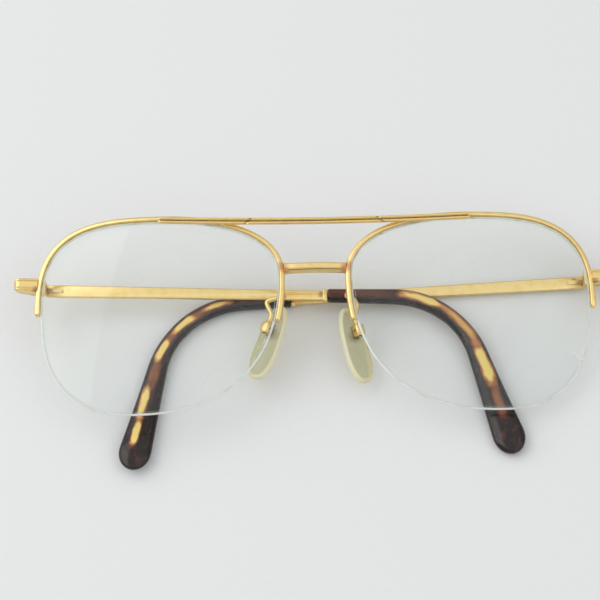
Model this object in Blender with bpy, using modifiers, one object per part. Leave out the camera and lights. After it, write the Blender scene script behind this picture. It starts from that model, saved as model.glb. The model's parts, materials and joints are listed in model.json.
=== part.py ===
"""A pair of semi-rimless pilot eyeglasses, lying face up with both temples folded behind the front.

The front is modelled in its own frame: X to the right as seen from the front, Y up, Z out of the
front. The root empty then lays the whole pair down on its folded temples. Sizes are in
millimetres and are turned into metres where a shape is made.
"""

from dataclasses import dataclass
from math import cos, pi, radians, sin, sqrt

import bmesh
import bpy
from mathutils import Matrix, Vector

# Metres in one millimetre, and the clearances between pieces that touch
MM = 0.001
FIT = 0.1
HINGE_GAP = 0.12

# Lens: how far its edge reaches from the lens centre, and how square each corner is
REACH_TEMPLE = 29.2
REACH_NOSE = 28.6
REACH_TOP = 24.0
REACH_BOTTOM = 23.6
TOP_AT = 3.0
BOTTOM_AT = 5.0
TEMPLE_AT = 2.0
NOSE_AT = 9.6
SQUARE_TOP_TEMPLE = 3.0
SQUARE_TOP_NOSE = 2.4
SQUARE_BOTTOM_NOSE = 2.3
SQUARE_BOTTOM_TEMPLE = 2.5
LENS_THICKNESS = 2.0
LENS_RADIUS = 120.0
LENS_SIDES = 64
GROOVE_DEPTH = 0.55
GROOVE_WIDTH = 0.8
NOSE_GAP = 18.4
WRAP = 5.0

# Metal half rim, its clear liner and the nylon line below the lens
RIM_WIDTH = 1.15
RIM_DEPTH = 2.1
RIM_STANDOFF = 0.45
RIM_END_NOSE = -1.2
RIM_END_TEMPLE = 2.3
LINER_WIDTH = 0.5
LINER_THICKNESS = 0.4
CORD_DIAMETER = 0.55

# Brow bar and lower bridge
BROW_HALF = 38.0
BROW_HEIGHT = 1.6
BROW_DEPTH = 1.3
BROW_BOW = 1.0
BROW_SAG = 1.0
BROW_RISE = 24.2
BROW_GROOVE = 0.35
BROW_NOTCH_AT = 16.0
BROW_NOTCH = 0.35
BRIDGE_AT = 11.8
BRIDGE_HEIGHT = 2.5
BRIDGE_DEPTH = 1.9
BRIDGE_BOW = 0.8

# End pieces: how far they reach past the hinge, and where they stand
END_LENGTH = 6.5
END_AT = 9.9
END_HEIGHT = 3.0
END_DEPTH = 2.7
END_CUT = 0.6
END_FLARE = 1.2

# Hinges: how far the axis stands inside the middle of the rim, at the end piece's height
HINGE_IN = 0.24
HINGE_BACK = 2.6
KNUCKLE_RADIUS = 1.3
KNUCKLE_HEIGHT = 0.95
SCREW_RADIUS = 0.55
SCREW_HEAD_RADIUS = 0.95
SCREW_HEAD_HEIGHT = 0.35
SCREW_SLOT = 0.25
HINGE_PLATE = 0.55
TANG_LENGTH = 5.0
TANG_THICKNESS = 0.5

# Temples
TEMPLE_OFFSET = 2.05
BAR_START = 1.0
BAR_HEIGHT_HINGE = 3.1
BAR_HEIGHT_TIP = 2.4
BAR_THICKNESS = 1.2
CORE_DIAMETER = 1.3
CORE_LENGTH = 15.0
TIP_START_SIZE = 3.4
TIP_NECK_SIZE = 4.0
PADDLE_WIDTH = 7.8
PADDLE_THICKNESS = 3.5
BEND_RADIUS = 22.3
DROP_LENGTH = 26.8
TEMPLE_SLOPE = 2.1

# Nose pads
PAD_LENGTH = 19.4
PAD_SQUARE = 2.5
PAD_WIDTH = 8.2
PAD_THICKNESS = 1.8
PAD_STANDOFF = 1.9
PAD_DROP = 2.9
PAD_TURN = 38.0
BOX_BACK = 5.6
BOX_WIDTH = 2.4
BOX_HEIGHT = 2.8
BOX_DEPTH = 2.3
BOX_WALL = 0.45
BOX_SOFTEN = 0.5
PAD_SCREW_RADIUS = 0.35
LUG_EYE_WALL = 0.25
LUG_NECK = 1.0
LUG_FOOT = 0.5
LUG_FOOT_HEIGHT = 3.2
ARM_DIAMETER = 1.1
ARM_AT = 5.2
ARM_RISE = 6.6

# What differs between the two sides: the bars' lengths, where the tips bend and how far they lean
# in toward the face, and where each pad box has come to stand
LEFT_BAR = 69.0
LEFT_BEND_START = 86.0
LEFT_LEAN = 5.4
LEFT_BOX_X = 12.0
LEFT_BOX_Y = -1.9
RIGHT_BAR = 72.0
RIGHT_BEND_START = 85.0
RIGHT_LEAN = 8.9
RIGHT_BOX_X = 10.4
RIGHT_BOX_Y = -3.0

# Kilograms in a cubic metre: the metal's, and those of the pieces that are not metal
METAL_DENSITY = 8500.0
DENSITIES = {
    "lens": 2500.0,
    "nylon_cord": 1150.0,
    "rim_liner": 1200.0,
    "temple_tip": 1280.0,
    "nose_pad": 1150.0,
}


@dataclass(frozen=True)
class Side:
    """What differs between the two sides, in how they were made and how they have worn.

    Lengths are in millimetres; fold, bend and splay are in degrees.
    """

    name: str
    sign: int
    bar: float
    bend_start: float
    lean: float
    box_x: float
    box_y: float
    fold: float
    bend: float
    splay: float


LEFT = Side(
    "left",
    -1,
    LEFT_BAR,
    LEFT_BEND_START,
    LEFT_LEAN,
    LEFT_BOX_X,
    LEFT_BOX_Y,
    fold=0.9,
    bend=70.0,
    splay=21.0,
)
RIGHT = Side(
    "right",
    1,
    RIGHT_BAR,
    RIGHT_BEND_START,
    RIGHT_LEAN,
    RIGHT_BOX_X,
    RIGHT_BOX_Y,
    fold=-2.0,
    bend=74.0,
    splay=14.0,
)


# Collections, materials and placing

def clear_scene():
    """Removes whatever the scene holds."""
    for thing in list(bpy.data.objects):
        bpy.data.objects.remove(thing, do_unlink=True)


def new_collection(name):
    made = bpy.data.collections.new(name)
    bpy.context.scene.collection.children.link(made)
    return made


def material(name, colour, roughness, metallic=0.0, see_through=0.0):
    """A Principled BSDF of one plain colour."""
    made = bpy.data.materials.new(name)
    made.use_nodes = True
    shader = made.node_tree.nodes["Principled BSDF"]
    shader.inputs["Base Color"].default_value = (*colour, 1.0)
    shader.inputs["Roughness"].default_value = roughness
    shader.inputs["Metallic"].default_value = metallic
    shader.inputs["Transmission Weight"].default_value = see_through
    made.diffuse_color = (*colour, 1.0)
    return made


def gold(name):
    return material(name, (0.83, 0.62, 0.27), 0.28, metallic=1.0)


def put(thing, collection, parent=None, finish=None):
    """Links an object into a collection, under its parent."""
    collection.objects.link(thing)
    if finish is not None:
        thing.data.materials.clear()
        thing.data.materials.append(finish)
    if parent is not None:
        thing.parent = parent
    return thing


def empty(name, parent=None, location=(0, 0, 0), rotation=(0, 0, 0)):
    """A frame of reference: its location is in millimetres and its turns are in degrees."""
    made = bpy.data.objects.new(name, None)
    made.empty_display_size = 0.005
    made.location = Vector(location) * MM
    made.rotation_euler = [radians(turn) for turn in rotation]
    return put(made, PARTS, parent)


def place(frame, matrix):
    """Puts an empty at a matrix whose place is in millimetres."""
    frame.location = matrix.translation * MM
    frame.rotation_euler = matrix.to_euler()


def as_guide(thing):
    """Marks a cutter or a section that is no piece of the object."""
    thing.hide_render = True
    thing.display_type = "WIRE"
    return thing


# Shapes

def mesh_object(name, bm):
    mesh = bpy.data.meshes.new(name)
    bmesh.ops.recalc_face_normals(bm, faces=bm.faces)
    bm.to_mesh(mesh)
    bm.free()
    return bpy.data.objects.new(name, mesh)


def smooth(thing, angle=35.0):
    thing.data.shade_smooth()
    thing.data.set_sharp_from_angle(angle=radians(angle))
    return thing


def loft(name, rings, first, last):
    """A closed body through a run of rings of equal count, ending in a point at each end."""
    bm = bmesh.new()
    loops = [[bm.verts.new(Vector(point) * MM) for point in ring] for ring in rings]
    count = len(rings[0])
    for near, far in zip(loops, loops[1:]):
        for i in range(count):
            j = (i + 1) % count
            bm.faces.new((near[i], near[j], far[j], far[i]))
    for centre, loop in ((first, loops[0]), (last, loops[-1])):
        middle = bm.verts.new(Vector(centre) * MM)
        for i in range(count):
            bm.faces.new((middle, loop[i], loop[(i + 1) % count]))
    return smooth(mesh_object(name, bm))


def block(name, size, centre=(0, 0, 0), soften=0.0):
    """A box, with its edges rounded where asked."""
    bm = bmesh.new()
    bmesh.ops.create_cube(bm, size=1.0)
    bmesh.ops.scale(bm, vec=Vector(size) * MM, verts=bm.verts)
    bmesh.ops.translate(bm, vec=Vector(centre) * MM, verts=bm.verts)
    made = mesh_object(name, bm)
    if soften:
        bevel(made, soften)
    return made


def rod(name, radius, length, centre=(0, 0, 0), axis="Z", sides=20):
    """A cylinder along one axis of its own frame."""
    turns = {"X": Matrix.Rotation(pi / 2, 4, "Y"), "Y": Matrix.Rotation(-pi / 2, 4, "X")}
    bm = bmesh.new()
    bmesh.ops.create_cone(
        bm,
        cap_ends=True,
        segments=sides,
        radius1=radius * MM,
        radius2=radius * MM,
        depth=length * MM,
    )
    if axis in turns:
        bmesh.ops.transform(bm, matrix=turns[axis], verts=bm.verts)
    bmesh.ops.translate(bm, vec=Vector(centre) * MM, verts=bm.verts)
    return smooth(mesh_object(name, bm))


def path_curve(name, points, radii=None):
    """A 3-D curve through the points, given in millimetres."""
    curve = bpy.data.curves.new(name, "CURVE")
    curve.dimensions = "3D"
    curve.use_fill_caps = True
    curve.twist_mode = "Z_UP"
    spline = curve.splines.new("POLY")
    spline.points.add(len(points) - 1)
    for i, point in enumerate(points):
        spline.points[i].co = (*(Vector(point) * MM), 1.0)
        spline.points[i].radius = radii[i] if radii else 1.0
    return bpy.data.objects.new(name, curve)


def wire(name, points, diameter, radii=None, resolution=2):
    """A round wire along the points."""
    made = path_curve(name, points, radii)
    made.data.bevel_depth = diameter / 2 * MM
    made.data.bevel_resolution = resolution
    made.data.use_fill_caps = True
    return made


def outline_curve(name, points):
    """A closed flat curve through the points."""
    curve = bpy.data.curves.new(name, "CURVE")
    curve.dimensions = "2D"
    curve.fill_mode = "BOTH"
    spline = curve.splines.new("POLY")
    spline.use_cyclic_u = True
    spline.points.add(len(points) - 1)
    for spot, (x, y) in zip(spline.points, points):
        spot.co = (x * MM, y * MM, 0.0, 1.0)
    return bpy.data.objects.new(name, curve)


def swept(name, points, section):
    """A bar whose section, across and along Z, follows the points."""
    guide = outline_curve(name + "_section", section)
    guide.data.fill_mode = "NONE"
    put(as_guide(guide), GUIDES)
    made = path_curve(name, points)
    made.data.bevel_mode = "OBJECT"
    made.data.bevel_object = guide
    return made


def slab(name, points, thickness):
    """A flat outline given a thickness along Z."""
    made = outline_curve(name, points)
    made.data.extrude = thickness / 2 * MM
    return made


def as_mesh(curve_object, sharp=35.0):
    """The same shape as one welded mesh, so that it can be cut and joined."""
    PARTS.objects.link(curve_object)
    bpy.context.view_layer.update()
    graph = bpy.context.evaluated_depsgraph_get()
    mesh = bpy.data.meshes.new_from_object(curve_object.evaluated_get(graph))
    name = curve_object.name
    bpy.data.objects.remove(curve_object, do_unlink=True)
    bm = bmesh.new()
    bm.from_mesh(mesh)
    bmesh.ops.remove_doubles(bm, verts=bm.verts, dist=0.00001)
    bmesh.ops.recalc_face_normals(bm, faces=bm.faces)
    bm.to_mesh(mesh)
    bm.free()
    mesh.name = name
    return smooth(bpy.data.objects.new(name, mesh), sharp)


def bevel(thing, width, segments=2):
    """Rounds the edges of a piece."""
    rounding = thing.modifiers.new("rounded_edges", "BEVEL")
    rounding.width = width * MM
    rounding.segments = segments
    rounding.limit_method = "ANGLE"
    rounding.angle_limit = radians(40)
    return thing


def boolean(thing, other, operation, name):
    """Cuts another closed shape from a piece, or joins it on."""
    put(as_guide(other), GUIDES, thing.parent)
    step = thing.modifiers.new(name, "BOOLEAN")
    step.operation = operation
    step.solver = "EXACT"
    step.object = other
    return thing


def through(points, steps=6):
    """A smooth run of points through a few chosen ones."""
    ends = [points[0] * 2 - points[1], *points, points[-1] * 2 - points[-2]]
    run = []
    for a, b, c, d in zip(ends, ends[1:], ends[2:], ends[3:]):
        for i in range(steps):
            t = i / steps
            run.append(
                0.5 * (2 * b + (c - a) * t + (2 * a - 5 * b + 4 * c - d) * t**2)
                + 0.5 * (3 * b - a - 3 * c + d) * t**3
            )
    return [*run, points[-1]]


# The lens outline, in its own frame: u toward the temple, v up

def corner(centre, reach, square, start, steps=60):
    """A quarter of a superellipse, as points from one axis to the next, anticlockwise."""
    found = []
    for i in range(steps):
        turn = start + pi / 2 * i / steps
        across, up = cos(turn), sin(turn)
        found.append(
            Vector(
                (
                    centre[0] + reach[0] * abs(across) ** (2 / square) * (1 if across > 0 else -1),
                    centre[1] + reach[1] * abs(up) ** (2 / square) * (1 if up > 0 else -1),
                )
            )
        )
    return found


def lens_outline():
    """The lens's edge as many points, anticlockwise from the temple side."""
    return (
        corner(
            (TOP_AT, TEMPLE_AT),
            (REACH_TEMPLE - TOP_AT, REACH_TOP - TEMPLE_AT),
            SQUARE_TOP_TEMPLE,
            0,
        )
        + corner(
            (TOP_AT, NOSE_AT),
            (REACH_NOSE + TOP_AT, REACH_TOP - NOSE_AT),
            SQUARE_TOP_NOSE,
            pi / 2,
        )
        + corner(
            (BOTTOM_AT, NOSE_AT),
            (REACH_NOSE + BOTTOM_AT, REACH_BOTTOM + NOSE_AT),
            SQUARE_BOTTOM_NOSE,
            pi,
        )
        + corner(
            (BOTTOM_AT, TEMPLE_AT),
            (REACH_TEMPLE - BOTTOM_AT, REACH_BOTTOM + TEMPLE_AT),
            SQUARE_BOTTOM_TEMPLE,
            3 * pi / 2,
        )
    )


class Edge:
    """The lens's edge, measured by its length from the temple side."""

    def __init__(self, dense, sides):
        self.dense = dense
        self.lengths = [0.0]
        for a, b in zip(dense, dense[1:] + dense[:1]):
            self.lengths.append(self.lengths[-1] + (b - a).length)
        self.total = self.lengths[-1]
        self.marks = [self.total * i / sides for i in range(sides)]

    def at(self, length):
        """The point at this length."""
        length %= self.total
        for i, far in enumerate(self.lengths[1:]):
            if far > length:
                break
        near = self.dense[i]
        step = self.dense[(i + 1) % len(self.dense)] - near
        return near + step * ((length - self.lengths[i]) / (far - self.lengths[i]))

    def offset(self, length, out):
        """The point at this length, moved outward."""
        along = self.at(length + 0.3) - self.at(length - 0.3)
        return self.at(length) + Vector((along.y, -along.x)).normalized() * out

    def length_at_height(self, height, on_nose_side):
        """The length at which the edge passes this height, on one side of the lens."""
        best = min(
            (abs(point.y - height), length)
            for point, length in zip(self.dense, self.lengths)
            if (point.x < 0) == on_nose_side
        )
        return best[1]

    def run(self, start, end):
        """The lengths from start to end: both ends, and the lens's own corners between them."""
        marks = [mark + turn for turn in (0, self.total) for mark in self.marks]
        margin = self.total / len(self.marks) / 3
        return [start, *[m for m in marks if start + margin < m < end - margin], end]


def dome(u, v):
    """How far the lens's middle surface lies behind its vertex."""
    return sqrt(LENS_RADIUS**2 - u**2 - v**2) - LENS_RADIUS


def on_lens(edge, side, length, out=0.0, forward=0.0):
    """A point beside the lens's edge, in the eye's frame."""
    u, v = edge.offset(length, out)
    return Vector((side.sign * u, v, dome(u, v) + forward))


# Where things are in the front's frame

EYE_X = NOSE_GAP / 2 + REACH_NOSE


def eye_matrix(side):
    """The eye's frame in the front's frame: the temple side is turned back."""
    middle = Matrix.Translation((side.sign * EYE_X, 0, 0))
    return middle @ Matrix.Rotation(radians(WRAP) * side.sign, 4, "Y")


def rim_out():
    """How far the middle of the rim lies outside the lens's edge."""
    return RIM_STANDOFF + RIM_WIDTH / 2


def rim_point(side, length):
    """The middle of the rim, in the front's frame."""
    return eye_matrix(side) @ on_lens(EDGE, side, length, rim_out())


EDGE = Edge(lens_outline(), LENS_SIDES)
NOSE_END = EDGE.length_at_height(RIM_END_NOSE, True)
TEMPLE_END = EDGE.length_at_height(RIM_END_TEMPLE, False)
if TEMPLE_END > EDGE.total / 2:
    TEMPLE_END -= EDGE.total


# The eyes: lens, rim, liner and nylon line

def lens(side, eye):
    """The lens: two spherical faces and a grooved edge."""
    half, groove = LENS_THICKNESS / 2, GROOVE_WIDTH / 2
    faces = (0.45, 0.8)
    section = [(0.0, half), (0.0, groove), (-GROOVE_DEPTH, groove * 0.6)]
    section += [(out, -forward) for out, forward in reversed(section)]
    rings = []
    for share in faces:
        rings.append(face_ring(side, share, half))
    for out, forward in section:
        rings.append([on_lens(EDGE, side, mark, out, forward) for mark in EDGE.marks])
    for share in reversed(faces):
        rings.append(face_ring(side, share, -half))
    made = loft(side.name + "_lens", rings, (0, 0, half), (0, 0, -half))
    put(made, PARTS, eye, material(side.name + "_lens", (0.93, 0.97, 0.95), 0.03, 0.0, 1.0))


def face_ring(side, share, forward):
    """A ring on the lens's face, at a share of the way from its centre to its edge."""
    ring = []
    for mark in EDGE.marks:
        u, v = EDGE.at(mark) * share
        ring.append((side.sign * u, v, dome(u, v) + forward))
    return ring


def rounded_section(width, depth, cut):
    """An oblong with its corners cut off."""
    x, y = width / 2, depth / 2
    return [
        (x - cut, -y),
        (x, -y + cut),
        (x, y - cut),
        (x - cut, y),
        (-x + cut, y),
        (-x, y - cut),
        (-x, -y + cut),
        (-x + cut, -y),
    ]


def rim(side, eye):
    """The half rim over the top of the lens, from the temple side to the nose side."""
    marks = EDGE.run(TEMPLE_END, NOSE_END)
    points = [on_lens(EDGE, side, mark, rim_out()) for mark in marks]
    section = rounded_section(RIM_WIDTH, RIM_DEPTH, RIM_WIDTH * 0.28)
    made = as_mesh(swept(side.name + "_rim", points, section))
    put(made, PARTS, eye, gold(side.name + "_rim"))


def liner(side, eye):
    """The clear strip between the rim and the lens, its inner half in the lens's groove."""
    marks = EDGE.run(TEMPLE_END, NOSE_END)
    out = RIM_STANDOFF - FIT - LINER_THICKNESS / 2
    points = [on_lens(EDGE, side, mark, out) for mark in marks]
    section = rounded_section(LINER_THICKNESS, LINER_WIDTH, LINER_THICKNESS * 0.25)
    made = as_mesh(swept(side.name + "_rim_liner", points, section))
    put(made, PARTS, eye, material(side.name + "_rim_liner", (0.86, 0.85, 0.76), 0.3))


def nylon_cord(side, eye):
    """The nylon line that holds the lens from below, lying in its groove."""
    marks = EDGE.run(NOSE_END + FIT * 3, EDGE.total + TEMPLE_END - FIT * 3)
    points = [on_lens(EDGE, side, mark, CORD_DIAMETER * 0.1) for mark in marks]
    made = as_mesh(wire(side.name + "_nylon_cord", points, CORD_DIAMETER, resolution=1))
    put(made, PARTS, eye, material(side.name + "_nylon_cord", (0.93, 0.94, 0.93), 0.25))


# What joins the eyes

def brow_bow(x):
    """How far the brow bar's middle line is bowed forward at this distance from the centre."""
    return BROW_BOW * (1 - (x / BROW_HALF) ** 2)


def brow_height(x):
    """How high the brow bar's middle line stands: it sinks a little toward its centre."""
    return BROW_RISE - BROW_SAG * (1 - (x / BROW_HALF) ** 2)


def brow_seat():
    """How far forward the rims and lenses reach where the brow bar lies over them, less its bow."""
    under = []
    inside = BROW_RISE - BROW_HEIGHT / 2 - REACH_TOP
    for out, forward in ((rim_out(), RIM_DEPTH / 2), (inside, LENS_THICKNESS / 2)):
        for mark in EDGE.marks:
            spot = eye_matrix(RIGHT) @ on_lens(EDGE, RIGHT, mark, out, forward)
            low = brow_height(spot.x) - BROW_HEIGHT / 2 - RIM_WIDTH / 2
            if spot.x < BROW_HALF + 2 and spot.y > low:
                under.append(spot.z - brow_bow(spot.x))
    return max(under)


def brow_point(x):
    """The middle of the brow bar at this distance from the centre."""
    return Vector((x, brow_height(x), brow_seat() + FIT + BROW_DEPTH / 2 + brow_bow(x)))


def brow_bar():
    """The straight bar from lens to lens: two ridges with a groove between, and a cut at each side."""
    count = 24
    points = [brow_point(BROW_HALF * (2 * i / count - 1)) for i in range(count + 1)]
    y, z = BROW_HEIGHT / 2, BROW_DEPTH / 2
    section = [
        (y * 0.8, -z),
        (y, -z * 0.6),
        (y, z * 0.5),
        (y * 0.6, z),
        (y * 0.2, z),
        (0.0, z - BROW_GROOVE),
        (-y * 0.2, z),
        (-y * 0.6, z),
        (-y, z * 0.5),
        (-y, -z * 0.6),
        (-y * 0.8, -z),
    ]
    made = as_mesh(swept("brow_bar", points, section))
    put(made, PARTS, FRONT, gold("brow_bar"))
    for sign in (-1, 1):
        cutter = block(f"brow_notch_{sign + 2}", (BROW_NOTCH, BROW_HEIGHT * 3, BROW_NOTCH * 2))
        at = brow_point(sign * BROW_NOTCH_AT)
        cutter.location = (at + Vector((0, 0, BROW_DEPTH / 2))) * MM
        cutter.rotation_euler = (0, 0, radians(45) * sign)
        boolean(made, cutter, "DIFFERENCE", "oblique_cut")


def bridge():
    """The short lower bridge, bowed forward, butted against both rims."""
    at = rim_point(RIGHT, EDGE.length_at_height(BRIDGE_AT, True))
    low = rim_point(RIGHT, EDGE.length_at_height(BRIDGE_AT - BRIDGE_HEIGHT / 2, True))
    half = min(at.x, low.x) - RIM_WIDTH / 2 - FIT * 2
    count = 12
    points = []
    for i in range(count + 1):
        x = half * (2 * i / count - 1)
        points.append(Vector((x, BRIDGE_AT, at.z + BRIDGE_BOW * (1 - (x / half) ** 2))))
    section = rounded_section(BRIDGE_HEIGHT, BRIDGE_DEPTH, BRIDGE_DEPTH * 0.25)
    made = as_mesh(swept("bridge", points, section))
    put(made, PARTS, FRONT, gold("bridge"))


# Temple hinges

def hinge_height():
    """The height of one full set of three knuckles."""
    return 3 * KNUCKLE_HEIGHT + 2 * HINGE_GAP


def hinge_place(side):
    """The hinge axis's middle, in the front's frame: behind the rim's temple side."""
    at = rim_point(side, EDGE.length_at_height(END_AT, False))
    back = at.z - RIM_DEPTH / 2 - HINGE_BACK
    return Vector((side.sign * (abs(at.x) - HINGE_IN), END_AT, back))


def end_piece(side, axis):
    """The block at the temple side, with an arm that stops the open temple."""
    at = rim_point(side, EDGE.length_at_height(END_AT, False))
    pivot = hinge_place(side)
    rim_face = RIM_WIDTH / 2 + FIT * 3 + HINGE_IN
    front = at.z + RIM_DEPTH / 2 - pivot.z
    behind_rim = at.z - RIM_DEPTH / 2 - FIT * 2 - pivot.z
    shelf = KNUCKLE_RADIUS + HINGE_GAP
    arm_in = TEMPLE_OFFSET - BAR_THICKNESS / 2
    arm_out = TEMPLE_OFFSET + BAR_THICKNESS / 2
    points = [
        (rim_face, front),
        (END_LENGTH - END_CUT, front),
        (END_LENGTH, front - END_CUT),
        (END_LENGTH, front - END_DEPTH),
        (arm_out + END_FLARE, shelf * 0.4),
        (arm_out, -BAR_START * 0.2),
        (arm_out, -BAR_START + HINGE_GAP),
        (arm_in, -BAR_START + HINGE_GAP),
        (arm_in, shelf),
        (-KNUCKLE_RADIUS * 0.8, shelf),
        (-KNUCKLE_RADIUS * 0.8, behind_rim),
        (rim_face, behind_rim),
    ]
    flat = [(side.sign * x, z) for x, z in points]
    made = as_mesh(slab(side.name + "_end_piece", flat, END_HEIGHT))
    stand(made)
    put(made, PARTS, axis, gold(side.name + "_end_piece"))
    bevel(made, 0.25)


def stand(thing):
    """Turns a slab drawn in X and Y so that its outline lies in X and Z."""
    thing.data.transform(Matrix.Rotation(pi / 2, 4, "X"))


def knuckle(name, middle):
    """One knuckle, round the hinge axis, as a closed rod along Y."""
    return rod(name, KNUCKLE_RADIUS, KNUCKLE_HEIGHT, (0, middle, 0), "Y", 18)


def bore(thing, radius, length, axis="Y"):
    """A round hole along the hinge axis."""
    boolean(thing, rod(thing.name + "_bore", radius, length, (0, 0, 0), axis, 16), "DIFFERENCE", "bore")


def front_hinge(side, axis):
    """The two outer knuckles, joined by a plate that lies against the end piece."""
    pitch = KNUCKLE_HEIGHT + HINGE_GAP
    shelf = KNUCKLE_RADIUS + HINGE_GAP
    plate = block(
        side.name + "_front_hinge",
        (KNUCKLE_RADIUS * 1.6, hinge_height(), HINGE_PLATE),
        (0, 0, shelf - FIT * 0.5 - HINGE_PLATE / 2),
    )
    put(plate, PARTS, axis, gold(side.name + "_front_hinge"))
    for step in (-1, 1):
        name = f"{side.name}_front_knuckle_{step + 2}"
        boolean(plate, knuckle(name, step * pitch), "UNION", "knuckle")
    gap = KNUCKLE_HEIGHT + 2 * HINGE_GAP
    room = rod(side.name + "_knuckle_room", KNUCKLE_RADIUS + HINGE_GAP, gap, (0, 0, 0), "Y", 20)
    boolean(plate, room, "DIFFERENCE", "room_for_knuckle")
    bore(plate, SCREW_RADIUS + FIT, hinge_height() + 2)


def temple_hinge(side, fold):
    """The middle knuckle and its tang, which lies on the inner side of the temple."""
    middle = knuckle(side.name + "_temple_hinge", 0)
    put(middle, PARTS, fold, gold(side.name + "_temple_hinge"))
    face = TEMPLE_OFFSET - BAR_THICKNESS / 2 - FIT
    tang = block(
        side.name + "_tang",
        (TANG_LENGTH, KNUCKLE_HEIGHT, TANG_THICKNESS),
        (-side.sign * TANG_LENGTH / 2, 0, -face + TANG_THICKNESS / 2),
    )
    boolean(middle, tang, "UNION", "tang")
    bore(middle, SCREW_RADIUS + FIT, hinge_height())


def hinge_screw(side, axis):
    """The screw down through the three knuckles."""
    half = hinge_height() / 2
    shaft = rod(side.name + "_hinge_screw", SCREW_RADIUS, hinge_height(), (0, 0, 0), "Y", 14)
    put(shaft, PARTS, axis, material(side.name + "_hinge_screw", (0.62, 0.55, 0.42), 0.35, 1.0))
    head = rod(
        side.name + "_screw_head",
        SCREW_HEAD_RADIUS,
        SCREW_HEAD_HEIGHT,
        (0, half + FIT + SCREW_HEAD_HEIGHT / 2, 0),
        "Y",
        16,
    )
    neck_length = FIT + SCREW_HEAD_HEIGHT
    neck = rod(side.name + "_screw_neck", SCREW_RADIUS, neck_length, (0, half, 0), "Y", 14)
    boolean(shaft, neck, "UNION", "neck")
    boolean(shaft, head, "UNION", "head")
    slot_size = (SCREW_HEAD_RADIUS * 3, SCREW_SLOT, SCREW_SLOT)
    slot = block(side.name + "_screw_slot", slot_size, (0, half + FIT + SCREW_HEAD_HEIGHT, 0))
    boolean(shaft, slot, "DIFFERENCE", "slot")


# Temples

def temple_bar(side, fold):
    """The flat bar, lower toward its tip, with a wire core that runs on into the tip."""
    end = BAR_START + side.bar
    flat = [
        (BAR_START, -BAR_HEIGHT_HINGE / 2),
        (end, -BAR_HEIGHT_TIP / 2),
        (end, BAR_HEIGHT_TIP / 2),
        (BAR_START, BAR_HEIGHT_HINGE / 2),
    ]
    made = as_mesh(slab(side.name + "_temple_bar", [(-side.sign * x, y) for x, y in flat], BAR_THICKNESS))
    made.data.transform(Matrix.Translation((0, 0, -TEMPLE_OFFSET * MM)))
    put(made, PARTS, fold, gold(side.name + "_temple_bar"))
    bevel(made, 0.28)
    core = rod(
        side.name + "_temple_core",
        CORE_DIAMETER / 2,
        CORE_LENGTH + 2,
        (-side.sign * (end + CORE_LENGTH / 2 - 1), 0, -TEMPLE_OFFSET),
        "X",
        12,
    )
    boolean(made, core, "UNION", "core")


def tip_path(side, length):
    """The tip's middle at this length from the hinge axis, and its direction, in the fold's frame."""
    bend = radians(side.bend)
    arc = BEND_RADIUS * bend
    if length <= side.bend_start:
        x, y, turn = length, 0.0, 0.0
    elif length <= side.bend_start + arc:
        turn = (length - side.bend_start) / BEND_RADIUS
        x = side.bend_start + BEND_RADIUS * sin(turn)
        y = -BEND_RADIUS * (1 - cos(turn))
    else:
        turn = bend
        rest = length - side.bend_start - arc
        x = side.bend_start + BEND_RADIUS * sin(bend) + rest * cos(bend)
        y = -BEND_RADIUS * (1 - cos(bend)) - rest * sin(bend)
    share = max(0.0, (length - side.bend_start) / (arc + DROP_LENGTH))
    lean = side.lean * share**1.6
    return Vector((-side.sign * x, y, lean - TEMPLE_OFFSET)), turn


def tip_size(share):
    """The tip's width and thickness at a share of its length: a slim neck, then a flat paddle."""
    swell = min(1.0, max(0.0, (share - 0.45) / 0.47)) ** 1.3
    width = TIP_START_SIZE + (TIP_NECK_SIZE - TIP_START_SIZE) * min(1.0, share / 0.3)
    width += (PADDLE_WIDTH - TIP_NECK_SIZE) * swell
    thick = TIP_START_SIZE + (PADDLE_THICKNESS - TIP_START_SIZE) * swell
    close = max(0.0, (share - 0.93) / 0.07)
    shrink = sqrt(max(0.0, 1 - close**2)) if close < 1 else 0.0
    return width * shrink, thick * (0.35 + 0.65 * shrink)


def temple_tip(side, fold):
    """The acetate tip: a straight neck over the bar's core, a bend, and a rounded paddle."""
    start = BAR_START + side.bar + FIT
    total = side.bend_start + BEND_RADIUS * radians(side.bend) + DROP_LENGTH
    shares = [i / 22 * 0.93 for i in range(23)] + [0.95, 0.97, 0.985, 0.995]
    sides = 16
    rings = []
    for share in shares:
        length = start + (total - start) * share
        middle, turn = tip_path(side, length)
        width, thick = tip_size(share)
        across = Vector((side.sign * -sin(turn), cos(turn), 0))
        ring = []
        for i in range(sides):
            angle = 2 * pi * i / sides
            ring.append(
                middle + across * (width / 2 * cos(angle)) + Vector((0, 0, thick / 2 * sin(angle)))
            )
        rings.append(ring)
    first = tip_path(side, start)[0]
    last = tip_path(side, total)[0]
    made = loft(side.name + "_temple_tip", rings, first, last)
    finish = material(side.name + "_temple_tip", (0.16, 0.07, 0.03), 0.15)
    put(made, PARTS, fold, finish)
    depth = CORE_LENGTH + FIT * 4
    socket = rod(
        side.name + "_tip_socket",
        CORE_DIAMETER / 2 + FIT,
        depth + 1,
        (-side.sign * (start + depth / 2 - 0.5), 0, -TEMPLE_OFFSET),
        "X",
        12,
    )
    boolean(made, socket, "DIFFERENCE", "socket")


# Nose pads

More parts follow.
